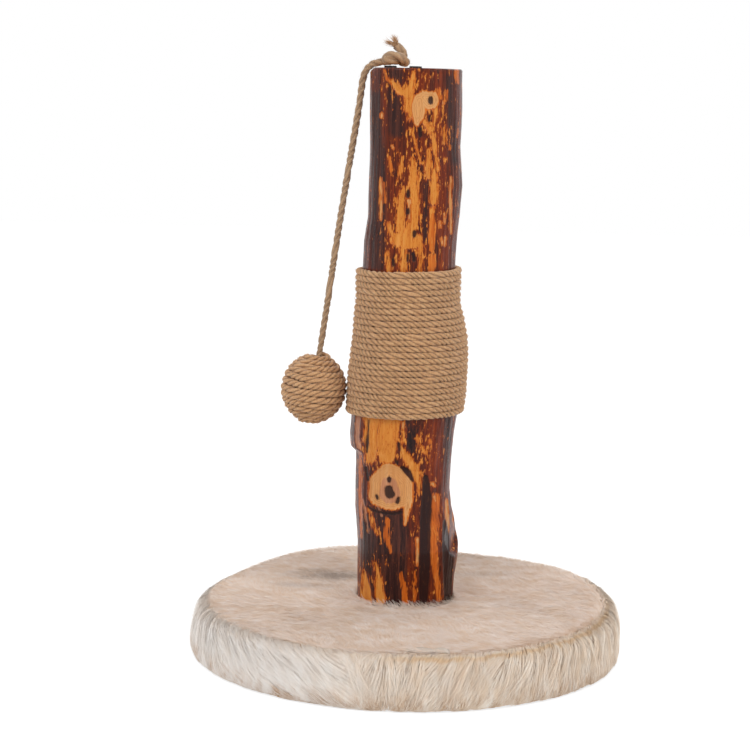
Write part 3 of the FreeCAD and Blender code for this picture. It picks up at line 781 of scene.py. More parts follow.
def makeLogMaterial():
    material, tree, shader = startMaterial("varnishedLog", Coat_Weight=0.18, Coat_Roughness=0.14,
                                           Coat_IOR=1.33)
    shader.inputs["Specular IOR Level"].default_value = 0.12
    place = onPiece(tree)
    fields = {}
    wobble = calc(tree, "SUBTRACT", noiseOf(tree, stretch(tree, place, (1, 1, 0.22)), 420, 4, 0.65), 0.5)
    shred = calc(tree, "SUBTRACT", noiseOf(tree, stretch(tree, place, (1, 1, 0.07)), 900, 2, 0.6), 0.5)
    rough = plus(tree, times(tree, wobble, 9.0), times(tree, shred, 6.0))
    for kind in logKinds:
        found = addNode(tree, "ShaderNodeAttribute", {"attribute_name": kind})
        fields[kind] = found.outputs["Fac"]

    def inside(kind, low, high, amount=1.0):
        edge = plus(tree, fields[kind], times(tree, rough, amount))
        return rangeOf(tree, edge, low, high)

    streaks = noiseOf(tree, stretch(tree, place, (1, 1, 0.035)), 300, 5, 0.7, 0.4)
    fine = noiseOf(tree, stretch(tree, place, (1, 1, 0.05)), 1400, 3, 0.6)
    broad = patchTone(tree, stretch(tree, place, (1, 1, 0.25)), 0.02, 0.22)

    bark, ruddy, plum, orange, gold, sand, rose = (rampOf(tree, streaks, stops)
                                                   for stops in logTones.values())
    bark = mixColour(tree, times(tree, broad, 0.6), bark, ruddy)
    bark = mixColour(tree, inside("ruddy", -2.0, 2.0, 0.7), bark, ruddy)
    bark = mixColour(tree, times(tree, inside("plum", -3.0, 3.0, 0.7), 0.85), bark, plum)
    soot = rangeOf(tree, noiseOf(tree, stretch(tree, place, (1, 1, 0.09), move=(3, 1, 0)), 210, 4, 0.62),
                   0.56, 0.68)
    bark = mixColour(tree, times(tree, soot, 0.7), bark, logSpots["soot"])
    flecks = rangeOf(tree, fine, 0.60, 0.70)
    bark = mixColour(tree, times(tree, flecks, 0.3), bark, logSpots["fleck"])

    colour = mixColour(tree, times(tree, inside("wood", -3.2, -0.6, 1.5), 0.75), bark, ruddy)
    colour = mixColour(tree, inside("inner", -0.9, 0.5), colour, orange)
    colour = mixColour(tree, inside("wood", -1.2, 0.2, 1.2), colour, orange)
    colour = mixColour(tree, inside("wood", 0.2, 1.0), colour, gold)
    # torn flecks where the bark is thin, thickest beside the bare wood
    chips = noiseOf(tree, stretch(tree, place, (1, 1, 0.3), move=(7, 2, 5)), 380, 4, 0.6)
    nearWood = rangeOf(tree, fields["wood"], -16.0, -1.0, 0.0, 0.075)
    chips = plus(tree, chips, plus(tree, nearWood, times(tree, broad, 0.03)))
    chips = calc(tree, "SUBTRACT", chips, times(tree, inside("plum", -2.0, 2.0, 0.3), 0.05))
    colour = mixColour(tree, times(tree, rangeOf(tree, chips, 0.63, 0.66), 0.85), colour, orange)
    colour = mixColour(tree, rangeOf(tree, chips, 0.672, 0.69), colour, gold)
    colour = mixColour(tree, inside("sand", -1.6, -0.8, 0.5), colour, orange)
    colour = mixColour(tree, inside("sand", -0.4, 0.3, 0.5), colour, sand)
    ringPlace = plus(tree, fields["sand"], times(tree, wobble, 3.0))
    rings = calc(tree, "SINE", times(tree, ringPlace, 3.4), 0.0)
    ringShade = times(tree, rangeOf(tree, rings, 0.2, 1.0),
                      times(tree, inside("sand", 0.6, 1.6, 0.2), 0.42))
    colour = mixColour(tree, ringShade, colour, logSpots["ring"])
    colour = mixColour(tree, times(tree, inside("rose", -0.6, 0.8, 0.5), 0.8), colour, rose)
    spot = inside("dark", -0.7, 0.5, 0.35)
    colour = mixColour(tree, times(tree, inside("dark", -1.8, 0.0, 0.5), 0.35), colour,
                       logSpots["singed"])
    colour = mixColour(tree, times(tree, spot, 0.92), colour, logSpots["knotHole"])
    paint(tree, shader, colour)
    bare = calc(tree, "MAXIMUM", inside("wood", -0.8, 0.8), inside("sand", -0.8, 0.8))
    tree.links.new(rangeOf(tree, bare, 0, 1, 0.30, 0.38), shader.inputs["Roughness"])
    height = times(tree, streaks, 1.2)
    height = plus(tree, height, times(tree, fine, 0.25))
    height = calc(tree, "SUBTRACT", height, times(tree, bare, 0.55))
    height = calc(tree, "SUBTRACT", height, times(tree, spot, 0.8))
    finishBump(tree, shader, height, 0.5, 0.0012)
    return material


def makeSawnMaterial():
    material, tree, shader = startMaterial("sawnLogEnd", Roughness=0.65)
    shader.inputs["Specular IOR Level"].default_value = 0.15
    place = stretch(tree, onPiece(tree), (1, 1, 1), move=(-logAxisX, -logAxisY, 0))
    bend = noiseOf(tree, place, 26, 3, 0.5)
    split = splitUp(tree, place)
    reach = calc(tree, "SQRT", plus(tree, calc(tree, "POWER", split["X"], 2.0),
                                    calc(tree, "POWER", split["Y"], 2.0)), 0.0)
    coarse = times(tree, noiseOf(tree, place, 110, 4, 0.65), 0.0075)
    bent = plus(tree, plus(tree, reach, coarse), times(tree, bend, 0.010))
    rings = calc(tree, "SINE", times(tree, bent, 1500.0), 0.0)
    saw = noiseOf(tree, stretch(tree, place, (1, 0.05, 1)), 900, 2, 0.6)
    dark = rangeOf(tree, rings, -0.6, 1.0, 0.0, 0.7)
    colour = mixColour(tree, dark, tone(222, 168, 104), tone(190, 126, 68))
    colour = mixColour(tree, rangeOf(tree, reach, 0.018, 0.0), colour, tone(166, 100, 54))
    colour = mixColour(tree, times(tree, saw, 0.3), colour, tone(150, 92, 50))
    colour = mixColour(tree, rangeOf(tree, bent, 0.0490, 0.0505), colour, tone(70, 32, 24))
    paint(tree, shader, colour)
    finishBump(tree, shader, plus(tree, saw, times(tree, rings, 0.3)), 0.3, 0.0005)
    return material


def makeLog():
    bm = bmesh.new()
    bmesh.ops.create_grid(bm, x_segments=log["around"], y_segments=log["up"], size=1)
    foot, head = logBox[0].z, logBox[1].z
    count = len(bm.verts)
    angle = np.array([vertex.co.x for vertex in bm.verts]) * math.pi
    height = foot + (np.array([vertex.co.y for vertex in bm.verts]) + 1) / 2 * (head - foot)
    inside = np.clip(height, foot + 0.05 * mm, head - 0.05 * mm)
    skin = np.array([logSkin(a, h) for a, h in zip(angle, inside)])
    low, high = log["ledge"]
    last, fade = log["ledgeEnd"], log["ledgeFade"]
    for index in np.flatnonzero((height > low) & (height < high) & (angle > last)):
        share = (height[index] - low) / (high - low)
        even = logSkin(angle[index], low).lerp(logSkin(angle[index], high), share)
        weight = min(1, (angle[index] - last) / fade, (math.pi - angle[index]) / fade)
        skin[index] += (np.array(even) - skin[index]) * weight
    skin[:, 2] = height
    across = skin[:, 0] / mm
    front = np.abs(angle) < math.pi / 2
    backAngle = np.degrees(np.where(angle > 0, angle - math.pi, angle + math.pi))
    invented = inventMarks()
    for kind in logKinds:
        bm.verts.layers.float.new(kind)
    fields = {}
    for kind in logKinds:
        seen = strokeDepth(across, height / mm, logMarks.get(kind, []))
        unseen = strokeDepth(backAngle * 0.85, height / mm, invented[kind])
        edge = np.clip((80 - np.abs(np.degrees(angle))) / 14, 0, 1)
        fields[kind] = np.where(front, seen * edge - 6 * (1 - edge), -30)
        fields[kind] = np.maximum(fields[kind], np.where(np.abs(backAngle) < 98, unseen, -30))
    bare = np.maximum(fields["wood"], np.maximum(fields["sand"], fields["rose"]))
    bare = np.clip((bare + 0.6) / 1.6, 0, 1)
    pit = np.clip((fields["dark"] + 0.5) / 2.0, 0, 1)
    ridges, waves = np.zeros(count), np.zeros(count)
    for index in range(count):
        x, y, z = skin[index]
        ridges[index] = noise.fractal(Vector((x * 190, y * 190, z * 11)), 0.8, 2.1, 4)
        waves[index] = noise.noise(Vector((x * 26 + 4, y * 26, z * 13)))
    fade = np.clip((head - height) / log["topFade"], 0, 1)
    push = log["ridge"] * ridges * (1 - 0.65 * bare) * fade + log["wave"] * waves * fade
    push += -log["barkThick"] * bare - log["pit"] * pit
    skin[:, 0] += np.sin(angle) * push
    skin[:, 1] -= np.cos(angle) * push
    layers = {kind: bm.verts.layers.float[kind] for kind in logKinds}
    for index, vertex in enumerate(bm.verts):
        vertex.co = skin[index]
        for kind in logKinds:
            vertex[layers[kind]] = fields[kind][index]
    bmesh.ops.remove_doubles(bm, verts=bm.verts[:], dist=0.02 * mm)
    # the sawn ends: the open rims are drawn in and closed
    for level in (head, foot):
        rim = [edge for edge in bm.edges if edge.is_boundary and abs(edge.verts[0].co.z - level) < mm]
        middle = Vector((logAxisX, logAxisY, level))
        previous = 1
        for shrink in log["endRings"]:
            grown = bmesh.ops.extrude_edge_only(bm, edges=rim)["geom"]
            rim = [part for part in grown if isinstance(part, bmesh.types.BMEdge)]
            for vertex in [part for part in grown if isinstance(part, bmesh.types.BMVert)]:
                vertex.co = middle + (vertex.co - middle) * (shrink / previous)
            previous = shrink
        bmesh.ops.holes_fill(bm, edges=rim, sides=0)
    bmesh.ops.recalc_face_normals(bm, faces=bm.faces[:])
    for face in bm.faces:
        flat = abs(face.normal.z) > 0.9 and abs(face.calc_center_median().z - head) < 0.6 * mm
        face.material_index = 1 if flat else 0
    mesh = meshFrom("log_bark", bm)
    piece = newPiece("log_bark", mesh, makeLogMaterial())
    mesh.materials.append(makeSawnMaterial())
    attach(piece, "stand")
    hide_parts("log_post")
    print("log made:", len(mesh.polygons), "faces")


makeLog()


# the rope round the log
wrap = {
    "diameter": 0.0070,      # the turns press into each other
    "lay": 0.0215,
    "fuzz": 6000,
    "fuzzLength": (0.002, 0.006),
    "sink": 0.1 * mm,        # into the bark
    "low": 0.2447,           # height of the first turn's middle
    "pitch": 0.0061,
    "turns": 24,
    "stepsPerTurn": 168,
    "wander": 0.0005,        # slow rise and fall that all the turns share
    "loose": 0.00022,        # and each turn's own
}


def wrapPoint(turn):  # the turns start at the back and rise to the left of the front
    angle = math.pi - 2 * math.pi * turn
    height = wrap["low"] + wrap["pitch"] * turn
    spot = Vector((math.sin(angle), math.cos(angle), 0)) * 1.7
    height += wrap["wander"] * noise.noise(spot + Vector((0, 0, height * 6)))
    height += wrap["loose"] * noise.noise(Vector((turn * 5.3, 8.1, 0.0)))
    skin = logSkin(-angle, min(height, logTop), wrap["diameter"] / 2 - wrap["sink"])
    skin.z = height
    return skin


def middleOfLog(places):  # at the height of each place
    middles = places.copy()
    middles[:, 0], middles[:, 1] = logAxisX, logAxisY
    return middles


def makeWrap():
    count = wrap["turns"] * wrap["stepsPerTurn"]
    line = [wrapPoint(wrap["turns"] * index / count) for index in range(count + 1)]
    mesh, length = layRope("rope_wrap_laid", line, wrap["diameter"], wrap["lay"], 1, "Z_UP")
    piece = newPiece("rope_wrap_laid", mesh, juteMaterial)
    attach(piece, "stand")
    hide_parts("rope_wrap")
    fuzz = fuzzPaths(line, wrap["diameter"] / 2, wrap["fuzz"], 7, wrap["fuzzLength"], middleOfLog)
    hairs = newPiece("rope_wrap_hairs", makeStrands("rope_wrap_hairs", *fuzz), juteMaterial, False)
    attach(hairs, "stand")
    print(f"rope round the log: {length:.2f} m, {len(mesh.polygons)} faces")


makeWrap()


# the jute ball
ball = {
    "middle": (-0.0982, cordPlane, 0.2659),
    "wide": 0.0304,          # from the middle to the rope's own middle, across and along the axis
    "high": 0.0326,
    "poleTop": 0.0074,
    "poleLow": 0.0064,
    "turns": 13,
    "stepsPerTurn": 110,
    "endLift": 0.003,
    "diameter": 0.0070,
    "lay": 0.024,
    "wander": 0.0016,
    "fuzz": 1500,
    "fuzzLength": (0.002, 0.006),
    "warm": 0.1,             # more brown than the rope on the log
}
ballMiddle = Vector(ball["middle"])
lastX, lastZ = cord["route"][-2]
ballDown = (ballMiddle - Vector((lastX, cordPlane, logTop + lastZ))).normalized()
ballTurn = Vector((0, 0, -1)).rotation_difference(ballDown).to_matrix()


def ballLine():
    wide, high = ball["wide"], ball["high"]
    first = math.asin(ball["poleTop"] / wide)
    last = math.pi - math.asin(ball["poleLow"] / wide)
    angles = np.linspace(first, last, 721)
    middles = (angles[1:] + angles[:-1]) / 2
    speeds = np.hypot(wide * np.cos(middles), high * np.sin(middles))
    travelled = np.concatenate(([0], np.cumsum(speeds)))
    travelled /= travelled[-1]
    turns = ball["turns"]
    line = []
    for step in range(turns * ball["stepsPerTurn"] + 1):
        turn = step / ball["stepsPerTurn"]
        angle = float(np.interp(turn / turns, travelled, angles))
        around = math.pi / 2 - 2 * math.pi * turn
        ends = min(1, turn, turns - turn)
        spot = Vector((math.cos(around), math.sin(around), angle * 1.3)) * 1.1
        angle += ends * ball["wander"] / wide * noise.noise(spot)
        lift = ball["endLift"] * (max(0.0, 1 - turn) ** 2 - max(0.0, turn - turns + 1) ** 2)
        reach = wide * math.sin(angle)
        spot = Vector((reach * math.cos(around), reach * math.sin(around), high * math.cos(angle) + lift))
        line.append(ballMiddle + ballTurn @ spot)
    return line


def makeBall():
    line = ballLine()
    mesh, length = layRope("ball_rope", line, ball["diameter"], ball["lay"], -1)
    piece = newPiece("ball_rope", mesh, makeJute("juteBall", ball["warm"]))
    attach(piece, "ball")
    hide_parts("ball_winding")
    fuzz = fuzzPaths(line, ball["diameter"] / 2, ball["fuzz"], 8, ball["fuzzLength"],
                     lambda places: ballMiddle)
    hairs = newPiece("ball_hairs", makeStrands("ball_hairs", *fuzz), juteMaterial, False)
    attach(hairs, "ball")
    print(f"rope on the ball: {length:.2f} m, {len(mesh.polygons)} faces")


makeBall()

# the knot on the log and its frayed tail
knot = {
    "diameter": 0.0090,
    "lay": 0.030,
    # across, towards the back and above the sawn top: along the back, up at the right, over the
    # front, round the left, up and out
    "route": [
        (-0.0335, 0.0172, 0.0066), (-0.0280, 0.0186, 0.0072), (-0.0200, 0.0200, 0.0078),
        (-0.0140, 0.0185, 0.0058), (-0.0112, 0.0125, 0.0052), (-0.0135, 0.0085, 0.0082),
        (-0.0195, 0.0085, 0.0120), (-0.0262, 0.0105, 0.0126), (-0.0318, 0.0128, 0.0102),
        (-0.0322, 0.0110, 0.0070), (-0.0262, 0.0098, 0.0064), (-0.0195, 0.0130, 0.0086),
        (-0.0140, 0.0168, 0.0118), (-0.0142, 0.0176, 0.0152), (-0.0178, 0.0170, 0.0180),
        (-0.0215, 0.0165, 0.0222),
    ],
    "fuzz": 500,
    "fuzzLength": (0.0015, 0.0045),
    # the frayed tail's tufts: tip, spread of the tips, fibres
    "tufts": [
        ((-0.0335, 0.0150, 0.0262), 0.0016, 190), ((-0.0246, 0.0170, 0.0318), 0.0017, 210),
        ((-0.0285, 0.0180, 0.0290), 0.0026, 60),
    ],
    "fibreWidths": (0.00028, 0.0005),
    "seed": 5,
}


def makeKnot():
    route = [(x, y, logTop + z) for x, y, z in knot["route"]]
    line = smoothLine(route, 20)
    mesh, _ = layRope("hanging_knot_rope", line, knot["diameter"], knot["lay"])
    fuzz = fuzzPaths(line, knot["diameter"] / 2, knot["fuzz"], 9, knot["fuzzLength"])
    hairs = makeStrands("knot_hairs", *fuzz)
    for name, part in (("hanging_knot_rope", mesh), ("hanging_knot_hairs", hairs)):
        piece = newPiece(name, part, juteCordMaterial, part is mesh)
        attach(piece, "stand")
        if part is mesh:
            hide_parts("hanging_knot")
    makeTail(line)


def makeTail(line):  # the rope's end, opened into its fibres
    dice = np.random.default_rng(knot["seed"])
    end = np.array(line[-1])
    out = unit(np.array(line[-1] - line[-4]))
    starts, bends, tips = [], [], []
    for tip, spread, count in knot["tufts"]:
        fan = unit(dice.normal(0, 1, (count, 3))) * (dice.random((count, 1)) ** 0.5)
        start = end - out * 0.002 + fan * 0.0030
        starts.append(start)
        bends.append(start + out * 0.0028 + dice.normal(0, 0.0004, (count, 3)))
        ends = np.array([tip[0], tip[1], logTop + tip[2]]) + dice.normal(0, spread, (count, 3))
        ends -= out * dice.random((count, 1)) ** 2 * 0.003
        tips.append(ends)
    starts, bends, tips = (np.concatenate(part)[:, None, :] for part in (starts, bends, tips))
    share = np.linspace(0, 1, 7)[None, :, None]
    paths = starts * (1 - share) ** 2 + bends * 2 * share * (1 - share) + tips * share ** 2
    count = len(paths)
    waves = np.sin(share * 9 + dice.random((count, 1, 1)) * 6)
    paths += waves * dice.normal(0, 0.00022, (count, 1, 3)) * share
    sides = unit(np.cross(tips[:, 0] - starts[:, 0], dice.normal(0, 1, (count, 3))))
    mesh = makeStrands("cord_tail_fibres", paths, dice.uniform(*knot["fibreWidths"], count), sides,
                       dice.random(count))
    piece = newPiece("cord_tail_fibres", mesh, makeJute("juteTail", 0.0, 0.25), False)
    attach(piece, "stand")
    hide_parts("cord_tail")


makeKnot()


# the base and its faux fur
base = {
    # the backing cloth's outline, out from the middle and up from the floor
    "cloth": [
        (0.0497, 0.0490), (0.080, 0.0490), (0.110, 0.0490), (0.140, 0.0490), (0.165, 0.0490),
        (0.183, 0.0489), (0.1960, 0.0484), (0.2025, 0.0462), (0.2062, 0.0400), (0.2078, 0.0280),
        (0.2074, 0.0130), (0.2045, 0.0062), (0.1985, 0.0030), (0.1900, 0.0024), (0.1655, 0.0024),
        (0.1655, 0.0036), (0.1900, 0.0038), (0.2012, 0.0060), (0.2016, 0.0250), (0.2012, 0.0400),
        (0.1950, 0.0455), (0.0497, 0.0454),
    ],
    "spinSteps": 192,
    "pileBase": 0.0512,      # the top's strands start here
    "dish": 0.0009,          # slow rises and hollows of the top
    "middleX": -0.0003,
    # round the rim in degrees from the right, back first: how much further out the pile stands at
    # the rim and near the floor, and how much higher the top is, in millimetres
    "round": [-180, -150, -120, -90, -60, -30, 0, 16, 36, 48, 90, 110, 126, 145, 157, 180],
    "outAtRim": [1, 0, 0, 0, 1, 3, 5, 5, 4, 3, 0, 0, 0, -2, -1, 1],
    "outBelow": [7, 5, 2.5, 1.5, 2, 5, 7, 7, 5, 4, 1, 0, 0, 2, 5, 7],
    "rise": [0, 0, 0, 0, 0, 0.5, 3.5, 5.5, 5.5, 2.5, 2, 6.5, 5.0, 1.5, -0.5, 0],
}
fur = {
    "topCount": 80000,
    "topReach": 0.2035,      # roots of the top's strands, out from the middle
    "rootsOffLog": 0.0498,
    "tipsOffLog": 0.0505,
    "topLength": (0.008, 0.015),
    "topLie": 10,            # degrees off the cloth
    "topPoints": 5,
    "sideCount": 44000,
    "sideLength": (0.026, 0.044),
    "sidePoints": 7,
    "widths": (0.00035, 0.00065),
    "lockSize": 0.0065,      # the side's strands gather into locks this wide
    "floorGap": 0.0010,
    "mostOut": 0.2175,
    "seed": 21,
    "pale": tone(255, 250, 241),
    "cream": tone(253, 236, 217),
    "tan": tone(232, 198, 156),
    "grey": tone(222, 200, 178),
    # painted shade at the strands' roots, and the backing cloth's own tone
    "root": tone(236, 206, 174),
    "topTint": (0.97, 0.955, 1.0),
    "seam": tone(234, 194, 142),
    "leftWhite": tone(255, 253, 252),
    "floorTan": tone(180, 134, 84),
    "topTan": tone(222, 186, 140),
    # the colour of the painted shadow behind the post
    "paintedShadowTone": tone(146, 122, 102),
    # painted shadow behind the post, in spots: across, back, width, depth and strength
    "paintedShadowSpots": [(-0.075, 0.085, 0.060, 0.027, 0.80), (-0.11, 0.045, 0.045, 0.014, 0.3),
                   (0.075, 0.10, 0.050, 0.016, 0.22)],
    # the side's roots, from just over the seam down: share of the way, radius and height
    "sideLevels": [0, 0.08, 0.2, 0.5, 1],
    "sideRadius": [0.1975, 0.2040, 0.2066, 0.2080, 0.2076],
    "sideHeight": [0.0520, 0.0496, 0.0430, 0.0280, 0.0110],
    "lockRadius": 0.21,
    "hangRadius": 0.211,
    # the locks' lean along the rim from left to right, to the right of the front is positive
    "leanAt": [-1, -0.93, -0.8, -0.6, -0.4, -0.27, -0.18, -0.08, 0.05, 0.25, 0.5, 0.75, 1],
    "lean": [0.2, 0.9, 1.8, 1.9, 1.5, 0.9, 0.1, -0.3, -0.5, -0.6, -0.6, -0.3, -0.1],
    "pieces": 3,             # meshes that share the strands, each for the top and the side
}


def hash01(values):
    return np.modf(np.abs(np.sin(values * 12.9898) * 43758.5453))[0]


def makeFurMaterial(name, side):
    material, tree, shader = startMaterial(name, Roughness=0.7, Sheen_Weight=0.3, Sheen_Roughness=0.5)
    shader.inputs["Specular IOR Level"].default_value = 0.25
    split = splitUp(tree, ownMap(tree, "strandMap"))
    own, along = split["X"], split["Y"]
    place = onPiece(tree)
    broad = patchTone(tree, place, 0.055, 0.16)
    locks = patchTone(tree, stretch(tree, place, (1, 1, 0.4)) if side else place, 0.009, 0.22)
    colour = mixColour(tree, own, fur["cream"], fur["pale"])
    colour = mixColour(tree, times(tree, locks, 0.5 if side else 0.35), colour, fur["tan"])
    colour = mixColour(tree, times(tree, broad, 0.25), colour, fur["grey"])
    if side:
        leftwards = rangeOf(tree, splitUp(tree, place)["X"], 0.02, -0.12, 0.05, 0.65)
        colour = mixColour(tree, leftwards, colour, fur["leftWhite"])
    # darker towards the strands' roots: painted shade deep in the pile
    roots = rangeOf(tree, along, 0.45, 0.0)
    colour = mixColour(tree, times(tree, roots, 0.4), colour, fur["root"])
    colour = mixColour(tree, seamLine(tree, place), colour, fur["seam"])
    if side:
        low = rangeOf(tree, splitUp(tree, place)["Z"], 0.024, 0.004)
        warm = times(tree, low, rangeOf(tree, own, 0.75, 0.1, 0.15, 0.85))
        clumps = patchTone(tree, stretch(tree, place, (1, 1, 0.5)), 0.016, 0.14)
        warm = times(tree, warm, calc(tree, "MULTIPLY_ADD", clumps, 1.0, 0.15))
        colour = mixColour(tree, warm, colour, fur["floorTan"])
    else:
        warm = patchTone(tree, stretch(tree, place, (1, 1.6, 1)), 0.020, 0.14)
        warm = times(tree, warm, rangeOf(tree, own, 1.0, 0.1, 0.15, 0.6))
        colour = mixColour(tree, warm, colour, fur["topTan"])
        # painted shadow behind the post on the top's pile
        shaded = times(tree, paintedShadowPatch(tree, place), rangeOf(tree, own, 1.0, 0.4, 0.35, 1.0))
        colour = mixColour(tree, shaded, colour, fur["paintedShadowTone"])
        colour = addNode(tree, "ShaderNodeVectorMath", {"operation": "MULTIPLY"},
                         {0: colour, 1: fur["topTint"]}).outputs["Vector"]
    paint(tree, shader, colour)
    return material


def seamLine(tree, place):  # the yellowish, ruffled pile along the seam, front and right
    split = splitUp(tree, place)
    flat = addNode(tree, "ShaderNodeCombineXYZ", None, {0: split["X"], 1: split["Y"], 2: 0.0})
    reach = lengthOf(tree, flat.outputs[0])
    apart = calc(tree, "ABSOLUTE", calc(tree, "SUBTRACT", reach, 0.2066), 0.0)
    ruffle = noiseOf(tree, place, 130, 3, 0.6)
    near = rangeOf(tree, plus(tree, apart, times(tree, ruffle, 0.009)), 0.0085, 0.0045)
    high = rangeOf(tree, split["Z"], 0.0440, 0.0475)
    front = times(tree, rangeOf(tree, split["X"], -0.05, 0.03), rangeOf(tree, split["Y"], 0.02, -0.06))
    return times(tree, times(tree, near, high), times(tree, front, 0.65))


def paintedShadowPatch(tree, place):  # painted shadow behind the post, to the left
    spread = 0.0
    for x, y, wide, tall, amount in fur["paintedShadowSpots"]:
        moved = stretch(tree, place, (1 / wide, 1 / tall, 0), move=(-x / wide, -y / tall, 0))
        reach = lengthOf(tree, moved)
        torn = noiseOf(tree, stretch(tree, place, (1, 3, 1)), 60, 3, 0.6)
        edge = plus(tree, reach, times(tree, torn, 1.2))
        spread = plus(tree, times(tree, rangeOf(tree, edge, 1.7, 0.7), amount), spread)
    return spread


def topHeight(x, y):
    bend = np.sin(x * 31 + 1.3) * np.cos(y * 27 - 0.4) + 0.6 * np.sin(x * 63 - y * 41)
    reach = np.hypot(x, y)
    level = np.clip((0.21 - reach) / 0.03, 0, 1) * np.clip((reach - 0.05) / 0.02, 0, 1)
    risen = np.interp(np.degrees(np.arctan2(y, x)), base["round"], base["rise"]) * mm
    return base["dish"] * bend * level + risen * np.clip((reach - 0.12) / 0.065, 0, 1)


def standOut(x, y, z):  # how far the pile's outline stands out there
    turn = np.degrees(np.arctan2(y, x))
    low = np.clip((0.045 - z) / 0.030, 0, 1)
    rim = np.interp(turn, base["round"], base["outAtRim"])
    below = np.interp(turn, base["round"], base["outBelow"])
    return (rim + (below - rim) * low) * mm * np.clip((np.hypot(x, y) - 0.14) / 0.06, 0, 1)


def makeCloth():
    bm = bmesh.new()
    outline = base["cloth"]
    corners = [bm.verts.new((x, 0, z)) for x, z in outline]
    edges = [bm.edges.new((a, b)) for a, b in zip(corners, corners[1:] + corners[:1])]
    bmesh.ops.spin(bm, geom=corners + edges, cent=(0, 0, 0), axis=(0, 0, 1),
                   angle=2 * math.pi, steps=base["spinSteps"], use_merge=True)
    for vertex in bm.verts:
        reach = math.hypot(vertex.co.x, vertex.co.y)
        if vertex.co.z > 0.044 and reach < 0.1:
            share = (0.1 - reach) / (0.1 - 0.0497)
            vertex.co.y += cordPlane * min(1, share)
            vertex.co.x += base["middleX"] * min(1, share)
        if vertex.co.z > 0.044:
            vertex.co.z += float(topHeight(vertex.co.x, vertex.co.y))
        if reach > 0.18:
            grown = 1 + float(standOut(*vertex.co)) / reach
            vertex.co.x *= grown
            vertex.co.y *= grown
    bmesh.ops.recalc_face_normals(bm, faces=bm.faces[:])
    material, tree, shader = startMaterial("furBacking", Roughness=0.9)
    place = onPiece(tree)
    fine = noiseOf(tree, place, 700, 3, 0.7)
    colour = mixColour(tree, fine, fur["root"], fur["cream"])
    paint(tree, shader, colour)
    finishBump(tree, shader, fine, 0.6, 0.001)
    piece = newPiece("fur_backing_cloth", meshFrom("fur_backing_cloth", bm), material)
    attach(piece, "stand")
    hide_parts("fur_top_panel", "fur_side_band")


def combing(x, y):  # which way the top's pile is brushed, as an angle from the right
    swirl = 0.5 * np.sin(x * 21 + 2.0 * np.sin(y * 17)) + 0.4 * np.cos(y * 29 - x * 9 + 1.0)
    return math.pi - 0.35 + swirl + 0.25 * np.sin(x * 70 + y * 51)


